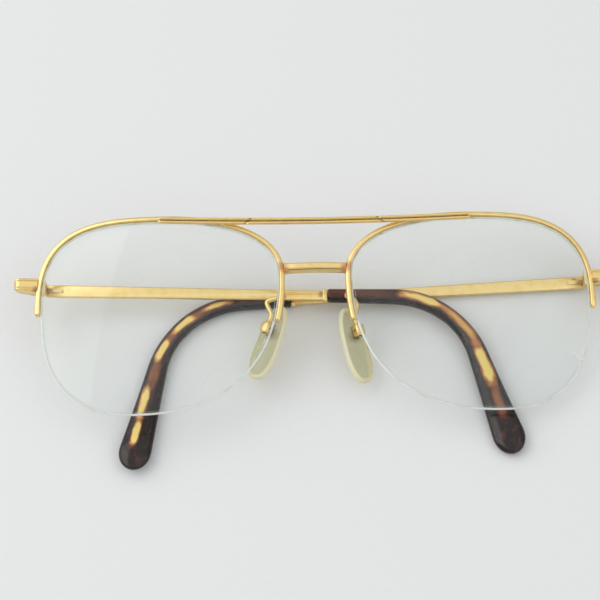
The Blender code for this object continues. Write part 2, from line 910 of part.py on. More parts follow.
def arm_points(side):
    """The pad arm's route: back from the rim, out, round and down into the box."""
    at = rim_point(side, EDGE.length_at_height(ARM_AT, True))
    back = at.z - RIM_DEPTH / 2 - ARM_DIAMETER / 2 - FIT
    x, y = side.box_x, side.box_y
    route = (
        (abs(at.x), ARM_AT, back),
        (abs(at.x) + (x - abs(at.x)) * 0.2, ARM_AT + 0.1, back - 1.6),
        (x - 0.2, y + ARM_RISE, -BOX_BACK - 1.0),
    )
    box_top = BOX_HEIGHT / 2 + FIT
    last = [pad_matrix(side) @ Vector((0, box_top + up, 0)) for up in (2.0, 0.0)]
    return [Vector((side.sign * a, b, c)) for a, b, c in route] + last


def pad_matrix(side):
    """The pad screw's frame in the front's frame: X along the screw, Y up the pad."""
    middle = Matrix.Translation((side.sign * side.box_x, side.box_y, -BOX_BACK))
    splay = Matrix.Rotation(radians(side.splay) * side.sign, 4, "Z")
    return middle @ splay @ Matrix.Rotation(radians(PAD_TURN) * side.sign, 4, "Y")


def pad_arm(side):
    """The bent wire from the back of the rim to the pad box."""
    made = as_mesh(wire(side.name + "_pad_arm", through(arm_points(side), 5), ARM_DIAMETER))
    put(made, PARTS, FRONT, gold(side.name + "_pad_arm"))


def pad_box(side, rock):
    """The small channel that holds the pad's lug, open toward the pad."""
    made = block(side.name + "_pad_box", (BOX_WIDTH, BOX_HEIGHT, BOX_DEPTH), soften=BOX_SOFTEN)
    put(made, PARTS, rock, gold(side.name + "_pad_box"))
    room = block(
        side.name + "_box_room",
        (BOX_WIDTH - 2 * BOX_WALL, BOX_HEIGHT + 1, BOX_DEPTH),
        (0, 0, -BOX_WALL),
    )
    boolean(made, room, "DIFFERENCE", "channel")
    bore(made, PAD_SCREW_RADIUS + FIT, BOX_WIDTH + 1, "X")


def pad_screw(side, rock):
    """The screw across the box, on which the pad rocks."""
    length = BOX_WIDTH - 0.2
    made = rod(side.name + "_pad_screw", PAD_SCREW_RADIUS, length, (0, 0, 0), "X", 12)
    put(made, PARTS, rock, material(side.name + "_pad_screw", (0.5, 0.42, 0.28), 0.4, 1.0))


def pad_lug(side, rock):
    """The lug on the pad's back: a plate with an eye for the screw, on a round foot."""
    width = BOX_WIDTH - 2 * BOX_WALL - 2 * FIT
    reach = PAD_STANDOFF - FIT
    radius = PAD_SCREW_RADIUS + LUG_EYE_WALL
    eye = rod(side.name + "_pad_lug", radius, width, (0, 0, 0), "X", 16)
    put(eye, PARTS, rock, material(side.name + "_pad_lug", (0.7, 0.66, 0.55), 0.35, 1.0))
    neck = block(side.name + "_lug_neck", (width - FIT, LUG_NECK, reach), (0, 0, -reach / 2))
    boolean(eye, neck, "UNION", "neck")
    foot_size = (width, LUG_FOOT_HEIGHT, LUG_FOOT)
    foot = block(side.name + "_lug_foot", foot_size, (0, 0, -reach + LUG_FOOT / 2))
    boolean(eye, foot, "UNION", "foot")
    bore(eye, PAD_SCREW_RADIUS + FIT, width + 1, "X")


def pad_half_width(share):
    """The teardrop's half width from its narrow top, share 0, to its round bottom, share 1."""
    round_end = max(0.0, 1 - abs(2 * share - 1) ** PAD_SQUARE) ** (1 / PAD_SQUARE)
    return PAD_WIDTH / 2 * round_end * (0.78 + 0.22 * share)


def nose_pad(side, rock):
    """The teardrop pad: a rounded edge, and faces that are almost flat."""
    steps = 20
    rings = []
    for inset, depth in pad_layers():
        ring = []
        for i in range(2 * steps):
            turn = pi * i / steps
            share = (1 - cos(turn)) / 2
            half = pad_half_width(share) * (1 if i < steps else -1)
            y = PAD_LENGTH * (0.5 - share)
            shorten = 1 - inset * PAD_WIDTH / PAD_LENGTH
            ring.append((half * (1 - inset), y * shorten - PAD_DROP, depth))
        rings.append(ring)
    front = -PAD_STANDOFF
    back = -PAD_STANDOFF - PAD_THICKNESS
    made = loft(side.name + "_nose_pad", rings, (0, -PAD_DROP, front), (0, -PAD_DROP, back))
    put(made, PARTS, rock, material(side.name + "_nose_pad", (0.72, 0.68, 0.42), 0.3, 0.0, 0.6))


def pad_layers():
    """The pad's section, from its front face to its back: the share it is drawn in, and its depth."""
    front = -PAD_STANDOFF
    return (
        (0.55, front),
        (0.22, front),
        (0.06, front - 0.15 * PAD_THICKNESS),
        (0.0, front - 0.45 * PAD_THICKNESS),
        (0.06, front - 0.78 * PAD_THICKNESS),
        (0.3, front - PAD_THICKNESS),
    )


def build_side(side):
    """Every piece of one side."""
    eye = empty(side.name + "_eye", FRONT)
    place(eye, eye_matrix(side))
    lens(side, eye)
    rim(side, eye)
    liner(side, eye)
    nylon_cord(side, eye)
    axis = empty(
        side.name + "_hinge_axis", FRONT, hinge_place(side), (0, 0, TEMPLE_SLOPE * side.sign)
    )
    end_piece(side, axis)
    front_hinge(side, axis)
    hinge_screw(side, axis)
    fold = empty(side.name + "_temple_fold", axis, rotation=(0, side.fold * side.sign, 0))
    temple_hinge(side, fold)
    temple_bar(side, fold)
    temple_tip(side, fold)
    pad_arm(side)
    rock = empty(side.name + "_pad_rock", FRONT)
    place(rock, pad_matrix(side))
    pad_box(side, rock)
    pad_screw(side, rock)
    pad_lug(side, rock)
    nose_pad(side, rock)


# Lying at rest

def triangles(thing, graph):
    """The piece's triangles in the front's frame, in metres."""
    mesh = thing.evaluated_get(graph).to_mesh()
    mesh.calc_loop_triangles()
    spots = [thing.matrix_world @ corner.co for corner in mesh.vertices]
    return [[spots[i] for i in face.vertices] for face in mesh.loop_triangles]


def density(name):
    """Kilograms in a cubic metre, from what the piece is made of."""
    for word, value in DENSITIES.items():
        if name.endswith(word):
            return value
    return METAL_DENSITY


def centre_of_mass(shapes):
    """The middle of the whole pair's weight."""
    weight, moment = 0.0, Vector()
    for name, faces in shapes.items():
        for a, b, c in faces:
            share = a.dot(b.cross(c)) / 6 * density(name)
            weight += share
            moment += (a + b + c) / 4 * share
    return moment / weight


def resting_normal(points, centre):
    """The outward normal of the hull's lower face that lies under the centre of mass."""
    bm = bmesh.new()
    for point in points:
        bm.verts.new(point)
    bmesh.ops.convex_hull(bm, input=bm.verts, use_existing_faces=False)
    bmesh.ops.recalc_face_normals(bm, faces=bm.faces)
    bmesh.ops.triangulate(bm, faces=bm.faces)
    found = []
    for face in bm.faces:
        if face.normal.z > -0.5:
            continue
        a, b, c = (corner.co for corner in face.verts)
        turns = [
            (far - near).cross(centre - near).dot(face.normal)
            for near, far in ((a, b), (b, c), (c, a))
        ]
        if min(turns) >= 0 or max(turns) <= 0:
            found.append(face.normal.copy())
    bm.free()
    return min(found, key=lambda normal: normal.z)


def lay_down():
    """Turns the pair onto the face of its hull that carries it, with its box centred on the origin."""
    bpy.context.view_layer.update()
    graph = bpy.context.evaluated_depsgraph_get()
    pieces = [thing for thing in PARTS.objects if thing.type == "MESH"]
    shapes = {thing.name: triangles(thing, graph) for thing in pieces}
    points = {tuple(spot) for faces in shapes.values() for face in faces for spot in face}
    down = resting_normal(points, centre_of_mass(shapes))
    turn = down.rotation_difference(Vector((0, 0, -1)))
    laid = [turn @ Vector(point) for point in points]
    low = Vector([min(point[i] for point in laid) for i in range(3)])
    high = Vector([max(point[i] for point in laid) for i in range(3)])
    FRONT.rotation_euler = turn.to_euler()
    FRONT.location = (-(low.x + high.x) / 2, -(low.y + high.y) / 2, -low.z)


clear_scene()
PARTS = new_collection("eyeglasses")
GUIDES = new_collection("cutters_and_sections")
FRONT = empty("front")
brow_bar()
bridge()
for one_side in (LEFT, RIGHT):
    build_side(one_side)
lay_down()
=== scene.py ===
"""Worn semi-rimless pilot eyeglasses, lying face up with both temples folded behind the front.

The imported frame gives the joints, and from them comes the front's own frame: X to the photo's
right, Y up the face and Z out of the front. Sizes are in millimetres until a mesh is made.
"""

import json
import logging
from bisect import bisect_right
from dataclasses import dataclass, field
from enum import Enum
from math import atan2, cos, pi, radians, sin, sqrt

import bmesh
import bpy
from mathutils import Matrix, Vector


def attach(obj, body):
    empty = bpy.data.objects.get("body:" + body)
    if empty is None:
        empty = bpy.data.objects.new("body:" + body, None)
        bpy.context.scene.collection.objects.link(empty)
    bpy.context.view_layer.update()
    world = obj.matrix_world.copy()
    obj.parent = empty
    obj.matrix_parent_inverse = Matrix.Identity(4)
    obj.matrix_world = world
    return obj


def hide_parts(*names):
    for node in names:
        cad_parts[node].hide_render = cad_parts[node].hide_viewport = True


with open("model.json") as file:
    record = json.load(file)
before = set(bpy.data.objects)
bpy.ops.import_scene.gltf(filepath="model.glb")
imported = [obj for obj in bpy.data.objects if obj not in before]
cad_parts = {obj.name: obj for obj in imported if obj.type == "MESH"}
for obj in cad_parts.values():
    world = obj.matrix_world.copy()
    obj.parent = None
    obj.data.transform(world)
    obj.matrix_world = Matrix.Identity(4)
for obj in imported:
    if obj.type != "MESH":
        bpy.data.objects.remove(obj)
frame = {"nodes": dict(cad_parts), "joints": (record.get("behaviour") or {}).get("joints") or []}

LOG = logging.getLogger("eyeglasses")
MM = 0.001
Colour = tuple[float, float, float]


class Slot(Enum):
    """The record's material slots."""

    GOLD = "gold_metal"
    SCREW = "screw_metal"
    GLASS = "lens_glass"
    LINER = "clear_liner"
    NYLON = "nylon"
    TORTOISE = "tortoise_acetate"
    PAD = "aged_pad"


@dataclass(frozen=True)
class Side:
    """What differs between the two sides, as made and as worn."""

    name: str
    sign: int
    fold: float
    bar: float
    bend_start: float
    bend: float
    inward: float
    box_x: float
    box_y: float
    splay: float

    @property
    def temple(self) -> str:
        """The body that this side's temple rides on."""
        return self.name + "_temple"

    @property
    def pad(self) -> str:
        """The body that this side's nose pad rides on."""
        return self.name + "_pad"


LEFT = Side(
    name="left",
    sign=-1,
    fold=0.9,
    bar=69.0,
    bend_start=86.0,
    bend=70.0,
    inward=5.4,
    box_x=12.0,
    box_y=-1.9,
    splay=21.0,
)
RIGHT = Side(
    name="right",
    sign=1,
    fold=-2.0,
    bar=72.0,
    bend_start=85.0,
    bend=74.0,
    inward=8.9,
    box_x=10.4,
    box_y=-3.0,
    splay=14.0,
)


# Shader maths


@dataclass(frozen=True)
class Signal:
    """A number that varies over a surface: Python's operators on it add Math nodes."""

    recipe: "Recipe"
    socket: bpy.types.NodeSocket

    def maths(self, operation: str, *values: "Signal | float", clamp: bool = False) -> "Signal":
        """One Math node.

        Args:
            operation: the Math node's operation.
            values: what goes into its sockets, in order.
            clamp: keeps the result between 0 and 1.

        Returns:
            The node's result.
        """
        sockets = dict(enumerate(values))
        made = self.recipe.node("ShaderNodeMath", {"operation": operation, "use_clamp": clamp}, sockets)
        return Signal(self.recipe, made.outputs[0])

    def __add__(self, other: "Signal | float") -> "Signal":
        """Sum."""
        return self.maths("ADD", self, other)

    __radd__ = __add__

    def __sub__(self, other: "Signal | float") -> "Signal":
        """Difference."""
        return self.maths("SUBTRACT", self, other)

    def __rsub__(self, other: float) -> "Signal":
        """Difference, with the number first."""
        return self.maths("SUBTRACT", other, self)

    def __mul__(self, other: "Signal | float") -> "Signal":
        """Product."""
        return self.maths("MULTIPLY", self, other)

    __rmul__ = __mul__

    def __truediv__(self, other: "Signal | float") -> "Signal":
        """Quotient."""
        return self.maths("DIVIDE", self, other)

    def __pow__(self, other: float) -> "Signal":
        """Power."""
        return self.maths("POWER", self, other)

    def size(self) -> "Signal":
        """The value without its sign."""
        return self.maths("ABSOLUTE", self)

    def most(self, other: "Signal | float") -> "Signal":
        """The larger of two values."""
        return self.maths("MAXIMUM", self, other)

    def clip(self) -> "Signal":
        """The value held between 0 and 1."""
        return self.maths("ADD", self, 0.0, clamp=True)

    def ease(self, low: float, high: float) -> "Signal":
        """A soft step.

        Args:
            low: where the step starts, and where the result is 0.
            high: where the step ends, and where the result is 1; it may be below low.

        Returns:
            A value from 0 to 1.
        """
        if low > high:
            return 1.0 - self.ease(high, low)
        made = self.recipe.node(
            "ShaderNodeMapRange",
            {"interpolation_type": "SMOOTHSTEP"},
            {"Value": self, "From Min": low, "From Max": high},
        )
        return Signal(self.recipe, made.outputs["Result"])


class Recipe:
    """One material's nodes."""

    def __init__(self, name: str) -> None:
        """Starts an empty material.

        Args:
            name: the material's name.
        """
        self.material = bpy.data.materials.new(name)
        self.material.use_nodes = True
        self.tree = self.material.node_tree
        self.tree.nodes.clear()

    def node(
        self,
        kind: str,
        settings: dict[str, object] | None = None,
        sockets: dict[str | int, object] | None = None,
    ) -> bpy.types.Node:
        """Makes any node.

        Args:
            kind: the node's type.
            settings: the node's own choices, set first.
            sockets: values or links of its inputs, by name or place.

        Returns:
            The node.
        """
        made = self.tree.nodes.new(kind)
        for key, value in (settings or {}).items():
            setattr(made, key, value)
        for key, value in (sockets or {}).items():
            if isinstance(value, Signal):
                value = value.socket
            if isinstance(value, bpy.types.NodeSocket):
                self.tree.links.new(value, made.inputs[key])
            else:
                made.inputs[key].default_value = value
        return made

    def coordinates(self, own_frame: Matrix) -> bpy.types.NodeSocket:
        """Object coordinates in millimetres, seen from a piece's own frame.

        Args:
            own_frame: the piece's frame in the row frame, in metres.

        Returns:
            The vector socket.
        """
        place = self.node("ShaderNodeTexCoord").outputs["Object"]
        inverse = own_frame.inverted()
        turned = self.node(
            "ShaderNodeMapping",
            {"vector_type": "POINT"},
            {
                "Vector": place,
                "Location": inverse.translation / MM,
                "Rotation": inverse.to_euler(),
                "Scale": (1 / MM,) * 3,
            },
        )
        return turned.outputs[0]

    def painted(self, name: str) -> Signal:
        """A number that the piece carries on its vertices."""
        made = self.node("ShaderNodeAttribute", {"attribute_name": name, "attribute_type": "GEOMETRY"})
        return Signal(self, made.outputs["Fac"])

    def joined(self, *numbers: Signal | float) -> bpy.types.NodeSocket:
        """A vector of three numbers."""
        return self.node("ShaderNodeCombineXYZ", None, dict(enumerate(numbers))).outputs[0]

    def vector(self, operation: str, first: object, second: object) -> bpy.types.NodeSocket:
        """One Vector Math node's vector."""
        sockets = {0: first, 1: second}
        return self.node("ShaderNodeVectorMath", {"operation": operation}, sockets).outputs["Vector"]

    def distance(self, place: bpy.types.NodeSocket, spot: tuple[float, float, float]) -> Signal:
        """How far a place lies from a spot."""
        made = self.node("ShaderNodeVectorMath", {"operation": "DISTANCE"}, {0: place, 1: spot})
        return Signal(self, made.outputs["Value"])

    def parts(self, place: bpy.types.NodeSocket) -> tuple[Signal, Signal, Signal]:
        """A vector's three numbers.

        Args:
            place: the vector's socket.

        Returns:
            Its X, Y and Z.
        """
        made = self.node("ShaderNodeSeparateXYZ", None, {0: place})
        x, y, z = (Signal(self, output) for output in made.outputs)
        return x, y, z

    def noise(self, place: object, scale: float, detail: float = 3.0, rough: float = 0.55) -> Signal:
        """Cloudy noise around 0.5.

        Args:
            place: the coordinates.
            scale: features in a millimetre.
            detail: finer layers.
            rough: how strong the finer layers are.

        Returns:
            The noise.
        """
        sockets = {"Vector": place, "Scale": scale, "Detail": detail, "Roughness": rough}
        return Signal(self, self.node("ShaderNodeTexNoise", None, sockets).outputs[0])

    def cells(self, place: object, scale: float) -> Signal:
        """The distance to the nearest of many scattered points."""
        made = self.node("ShaderNodeTexVoronoi", None, {"Vector": place, "Scale": scale})
        return Signal(self, made.outputs["Distance"])

    def blend(self, share: Signal | float, first: object, second: object) -> bpy.types.NodeSocket:
        """Mixes two colours.

        Args:
            share: how much of the second colour.
            first: a colour or a colour socket.
            second: a colour or a colour socket.

        Returns:
            The colour socket.
        """
        colours = [(*c, 1.0) if isinstance(c, tuple) else c for c in (first, second)]
        settings = {"data_type": "RGBA", "clamp_factor": True}
        return self.node("ShaderNodeMix", settings, {0: share, 6: colours[0], 7: colours[1]}).outputs[2]

    def relief(self, height: Signal, depth: float, strength: float = 1.0) -> bpy.types.NodeSocket:
        """A bumpy normal.

        Args:
            height: the relief, from 0 to 1.
            depth: how deep it is, in millimetres.
            strength: how much of it shows.

        Returns:
            The normal socket.
        """
        sockets = {"Height": height, "Distance": depth * MM, "Strength": strength}
        return self.node("ShaderNodeBump", None, sockets).outputs["Normal"]

    def surface(self, sockets: dict[str, object]) -> bpy.types.Node:
        """The Principled shader."""
        return self.node("ShaderNodeBsdfPrincipled", None, sockets)

    def clear(self, tint: Colour = (1.0, 1.0, 1.0)) -> bpy.types.Node:
        """The transparent shader."""
        return self.node("ShaderNodeBsdfTransparent", None, {"Color": (*tint, 1.0)})

    def mixed(self, share: Signal | float, first: bpy.types.Node, second: bpy.types.Node) -> bpy.types.Node:
        """Mixes two shaders, with this share of the second."""
        sockets = {0: share, 1: first.outputs[0], 2: second.outputs[0]}
        return self.node("ShaderNodeMixShader", None, sockets)

    def done(self, shader: bpy.types.Node) -> bpy.types.Material:
        """Joins the shader to the output and gives the material."""
        self.node("ShaderNodeOutputMaterial", None, {"Surface": shader.outputs[0]})
        return self.material


# Finishes


@dataclass(frozen=True)
class Mark:
    """A round patch of wear or dirt, in the row frame."""

    at: Vector
    radius: float
    amount: float = 1.0


@dataclass(frozen=True)
class GoldPlate:
    """Pale gold plating with fine scratches, old solder colour and brown tarnish."""

    gold: Colour = (0.93, 0.70, 0.30)
    shade: Colour = (0.83, 0.575, 0.20)
    copper: Colour = (0.60, 0.31, 0.14)
    tarnish: Colour = (0.27, 0.14, 0.055)
    roughness: float = 0.24

    def material(
        self,
        name: str,
        own_frame: Matrix,
        copper: list[Mark] | None = None,
        brown: list[Mark] | None = None,
    ) -> bpy.types.Material:
        """Makes the plating for one piece.

        Args:
            name: the material's name.
            own_frame: the piece's frame, along whose X the metal was drawn.
            copper: where the plating is worn through to coppery metal.
            brown: where tarnish and dirt sit.

        Returns:
            The material.
        """
        recipe = Recipe(name)
        place = recipe.coordinates(own_frame)
        clouds = recipe.noise(place, 0.55, 4.0)
        grain = recipe.noise(recipe.vector("MULTIPLY", place, (0.25, 6.0, 6.0)), 1.2, 4.0, 0.7)
        specks = recipe.cells(place, 0.9)
        pits = recipe.noise(place, 7.0, 5.0, 0.75)
        colour = recipe.blend(clouds.ease(0.42, 0.72) * 0.55, self.gold, self.shade)
        worn = self._masks(recipe, place, own_frame, copper or [], clouds, pits)
        dirty = self._masks(recipe, place, own_frame, brown or [], clouds, pits)
        flecks = specks.ease(0.11, 0.04) * pits.ease(0.46, 0.6) * 0.7
        dirty = dirty.most(flecks)
        colour = recipe.blend(worn, colour, self.copper)
        colour = recipe.blend(dirty, colour, self.tarnish)
        roughness = self.roughness + grain * 0.12 + worn * 0.2 + dirty * 0.35
        metallic = 1.0 - dirty * 0.4
        height = grain * 0.2 + pits * 0.3 + clouds * 0.5 - dirty * 0.2
        sockets = {
            "Base Color": colour,
            "Roughness": roughness,
            "Metallic": metallic,
            "Normal": recipe.relief(height, 0.02, 0.4),
        }
        return recipe.done(recipe.surface(sockets))

    def _masks(
        self,
        recipe: Recipe,
        place: bpy.types.NodeSocket,
        own_frame: Matrix,
        marks: list[Mark],
        clouds: Signal,
        pits: Signal,
    ) -> Signal:
        """One mask for a run of marks, with ragged edges.

        Args:
            recipe: the material's nodes.
            place: the piece's coordinates.
            own_frame: the piece's frame.
            marks: the marks.
            clouds: broad noise.
            pits: fine noise.

        Returns:
            The mask, from 0 to 1.
        """
        mask = pits * 0.0
        ragged = clouds * 0.9 + pits * 0.5
        for mark in marks:
            spot = own_frame.inverted() @ mark.at / MM
            near = recipe.distance(place, tuple(spot)) / mark.radius + ragged
            mask = mask.most(near.ease(1.65, 0.95) * mark.amount)
        return mask


@dataclass(frozen=True)
class OldScrewMetal:
    """Duller, browner metal of the screws, lugs and the insides of the hinges."""

    bright: Colour = (0.55, 0.46, 0.32)
    dull: Colour = (0.22, 0.15, 0.09)
    roughness: float = 0.3

    def material(self, name: str, own_frame: Matrix) -> bpy.types.Material:
        """Makes the metal for one piece, with its lathe lines across its own Y.

        Args:
            name: the material's name.
            own_frame: the piece's frame.

        Returns:
            The material.
        """
        recipe = Recipe(name)
        place = recipe.coordinates(own_frame)
        clouds = recipe.noise(place, 1.4, 4.0, 0.65)
        turned = recipe.noise(recipe.vector("MULTIPLY", place, (0.6, 9.0, 0.6)), 1.0, 3.0, 0.6)
        sockets = {
            "Base Color": recipe.blend(clouds.ease(0.38, 0.66), self.bright, self.dull),
            "Roughness": self.roughness + clouds * 0.3,
            "Metallic": 1.0 - clouds.ease(0.55, 0.75) * 0.4,
            "Normal": recipe.relief(turned * 0.6 + clouds * 0.4, 0.03, 0.5),
        }
        return recipe.done(recipe.surface(sockets))


@dataclass(frozen=True)
class PaintedGrooveShade:
    """Painted shade laid as a thin strip in a groove: dark brown, dull, with golden gaps."""

    # dirt is the painted shade's dark brown, thin its lighter brown.
    dirt: Colour = (0.075, 0.042, 0.018)
    thin: Colour = (0.34, 0.21, 0.08)

    def material(self, name: str, own_frame: Matrix) -> bpy.types.Material:
        """Makes the painted shade of one groove.

        Args:
            name: the material's name.
            own_frame: the groove's frame.

        Returns:
            The material.
        """
        recipe = Recipe(name)
        place = recipe.coordinates(own_frame)
        lumps = recipe.noise(place, 1.1, 4.0, 0.65)
        grains = recipe.noise(place, 8.0, 3.0, 0.7)
        colour = recipe.blend((lumps.ease(0.42, 0.66) * 0.7 + grains * 0.2).clip(), self.dirt, self.thin)
        sockets = {
            "Base Color": colour,
            "Roughness": 0.5 + grains * 0.3,
            "Metallic": lumps.ease(0.5, 0.75) * 0.7,
            "Normal": recipe.relief(lumps + grains * 0.4, 0.03, 0.5),
        }
        return recipe.done(recipe.surface(sockets))


@dataclass(frozen=True)
class LensGlass:
    """Clear lens with a faint green coating, smudges, fine scratches and one short hairline."""

    coating: Colour = (0.86, 0.96, 0.90)
    haze: Colour = (0.86, 0.87, 0.85)

    def material(self, name: str, eye: Matrix, hairline: list[Colour]) -> bpy.types.Material:
        """Makes the glass of one lens.

        Args:
            name: the material's name.
            eye: the lens's own frame.
            hairline: points along the hairline, none where the lens has none.

        Returns:
            The material.
        """
        recipe = Recipe(name)
        place = recipe.coordinates(eye)
        smear = recipe.noise(recipe.vector("MULTIPLY", place, (1.0, 0.35, 1.0)), 0.16, 4.0, 0.6)
        dust = recipe.cells(place, 0.55)
        fine = recipe.noise(place, 3.0, 3.0, 0.6)
        bend = recipe.noise(place, 0.12, 2.0)
        x, y, _ = recipe.parts(place)
        scratches = self._scratches(x, y, bend, fine)
        marks = scratches.most(dust.ease(0.05, 0.02) * fine.ease(0.5, 0.62) * 0.5)
        for first, second in zip(hairline, hairline[1:]):
            marks = marks.most(self._segment(x, y, first, second))
        fresnel = Signal(recipe, recipe.node("ShaderNodeFresnel", None, {"IOR": 1.5}).outputs[0])
        clear = recipe.clear((0.994, 0.998, 0.995))
        shine = recipe.surface(
            {
                "Base Color": self.coating + (1.0,),
                "Roughness": 0.03 + smear.ease(0.5, 0.8) * 0.12,
                "Metallic": 1.0,
            }
        )
        film = recipe.surface({"Base Color": self.haze + (1.0,), "Roughness": 0.6})
        glass = recipe.mixed((fresnel * 0.38).clip(), clear, shine)
        veil = (smear.ease(0.45, 0.85) * 0.02 + marks * 0.5).clip()
        return recipe.done(recipe.mixed(veil, glass, film))

    def _scratches(self, x: Signal, y: Signal, bend: Signal, fine: Signal) -> Signal:
        """Sparse fine scratches in three directions, each a broken line.

        Args:
            x, y: the place on the lens in millimetres.
            bend: a slow noise that bends the lines.
            fine: a fine noise that breaks them up.

        Returns:
            Where the scratches are, 0 to 0.3.
        """
        mask = fine * 0.0
        for across, along, pitch in ((0.82, 0.57, 17.0), (0.3, -0.95, 23.0), (-0.6, 0.8, 29.0)):
            track = (x * across + y * along + bend * 9.0) / pitch
            line = (track.maths("FRACT", track) - 0.5).size().ease(0.0016, 0.0004)
            mask = mask.most(line * fine.ease(0.44, 0.6) * 0.3)
        return mask

    def _segment(self, x: Signal, y: Signal, first: Colour, second: Colour) -> Signal:
        """A thin straight stroke.

        Args:
            x, y: the place on the lens in millimetres.
            first, second: the stroke's ends, whose third value isn't used.

        Returns:
            Where the stroke is, 0 to 1.
        """
        run, rise = second[0] - first[0], second[1] - first[1]
        length = sqrt(run * run + rise * rise)
        across = ((x - first[0]) * (rise / length) - (y - first[1]) * (run / length)).size()
        along = ((x - first[0]) * (run / length) + (y - first[1]) * (rise / length)) - length / 2
        return across.ease(0.13, 0.05) * along.size().ease(length / 2 + 0.1, length / 2)


@dataclass(frozen=True)
class LensEdge:
    """The ground edge of the lens: pale, matt and a little dirty in its groove."""

    ground: Colour = (0.74, 0.77, 0.73)
    grime: Colour = (0.36, 0.33, 0.26)

    def material(self, name: str, eye: Matrix) -> bpy.types.Material:
        """Makes the ground edge of one lens.

        Args:
            name: the material's name.
            eye: the lens's own frame.

        Returns:
            The material.
        """
        recipe = Recipe(name)
        place = recipe.coordinates(eye)
        fine = recipe.noise(place, 5.0, 4.0, 0.7)
        clouds = recipe.noise(place, 0.35, 3.0)
        paint = recipe.surface(
            {
                "Base Color": recipe.blend(clouds.ease(0.5, 0.75) * 0.6, self.ground, self.grime),
                "Roughness": 0.4 + fine * 0.3,
                "Normal": recipe.relief(fine, 0.02, 0.6),
            }
        )
        clear = recipe.clear((0.95, 0.97, 0.96))
        return recipe.done(recipe.mixed(0.45 + clouds * 0.3, clear, paint))


@dataclass(frozen=True)
class ClearPlastic:
    """The liner and the nylon line: translucent plastic, yellowed and grimy in places."""

    fresh: Colour
    aged: Colour
    clearness: float
    roughness: float = 0.25

    def material(self, name: str, own_frame: Matrix) -> bpy.types.Material:
        """Makes the plastic for one piece.

        Args:
            name: the material's name.
            own_frame: the piece's frame.

        Returns:
            The material.
        """
        recipe = Recipe(name)
        place = recipe.coordinates(own_frame)
        clouds = recipe.noise(place, 0.3, 4.0, 0.6)
        fine = recipe.noise(place, 6.0, 3.0, 0.6)
        paint = recipe.surface(
            {
                "Base Color": recipe.blend(clouds.ease(0.4, 0.7), self.fresh, self.aged),
                "Roughness": self.roughness + fine * 0.2,
                "Normal": recipe.relief(fine, 0.012, 0.5),
            }
        )
        clear = recipe.clear((0.97, 0.98, 0.97))
        share = 1.0 - self.clearness + clouds * 0.2
        return recipe.done(recipe.mixed(share, clear, paint))


@dataclass(frozen=True)
class AgedPad:
    """Nose pad plastic gone yellow green, with dirt where the lug is moulded in and a painted highlight round
    its rim.
    """

    middle: Colour = (0.68, 0.64, 0.50)
    # rim is a paler, yellower band along the pad's edge: a painted highlight on its bevelled rim.
    rim: Colour = (0.93, 0.87, 0.58)
    green: Colour = (0.64, 0.65, 0.42)
    dirt: Colour = (0.22, 0.14, 0.07)

    def material(self, name: str, pad: Matrix, drop: float, size: tuple[float, float]) -> bpy.types.Material:
        """Makes the plastic of one pad.

        Args:
            name: the material's name.
            pad: the pad screw's frame.
            drop: how far the pad's middle lies below the screw.
            size: the pad's width and length.

        Returns:
            The material.
        """
        recipe = Recipe(name)
        place = recipe.coordinates(pad)
        x, y, z = recipe.parts(place)
        clouds = recipe.noise(place, 0.4, 4.0, 0.6)
        fine = recipe.noise(place, 4.0, 4.0, 0.7)
        v = (y + drop) / (size[1] / 2)
        u = x / ((0.89 - v * 0.11) * (size[0] / 2))
        outward = (u.size() ** 2.5 + v.size() ** 2.5) ** 0.4
        # edge masks the painted highlight round the rim, and makes the rim less clear.
        edge = outward.ease(0.83, 0.95)
        foot = recipe.distance(place, (0.0, -0.4, -2.0)) / 3.0 + clouds * 0.8 + fine * 0.4
        dirty = foot.ease(1.5, 0.8) * 0.8
        colour = recipe.blend(clouds.ease(0.35, 0.7) * 0.7, self.middle, self.green)
        colour = recipe.blend(edge * 0.85, colour, self.rim)
        colour = recipe.blend(dirty, colour, self.dirt)
        body = recipe.surface(
            {
                "Base Color": colour,
                "Roughness": 0.22 + fine * 0.25 + dirty * 0.2,
                "Normal": recipe.relief(fine * 0.6 + clouds * 0.4, 0.04, 0.45),
            }
        )
        clear = recipe.clear((0.93, 0.92, 0.80))
        share = (0.28 + edge * 0.45 + dirty * 0.5).clip()
        return recipe.done(recipe.mixed(share, clear, body))


@dataclass(frozen=True)
class Streak:
    """A lengthwise amber streak: where it starts and ends along the tip, and where it lies across."""

    start: float
    end: float
    across: float
    half: float
    amount: float = 1.0


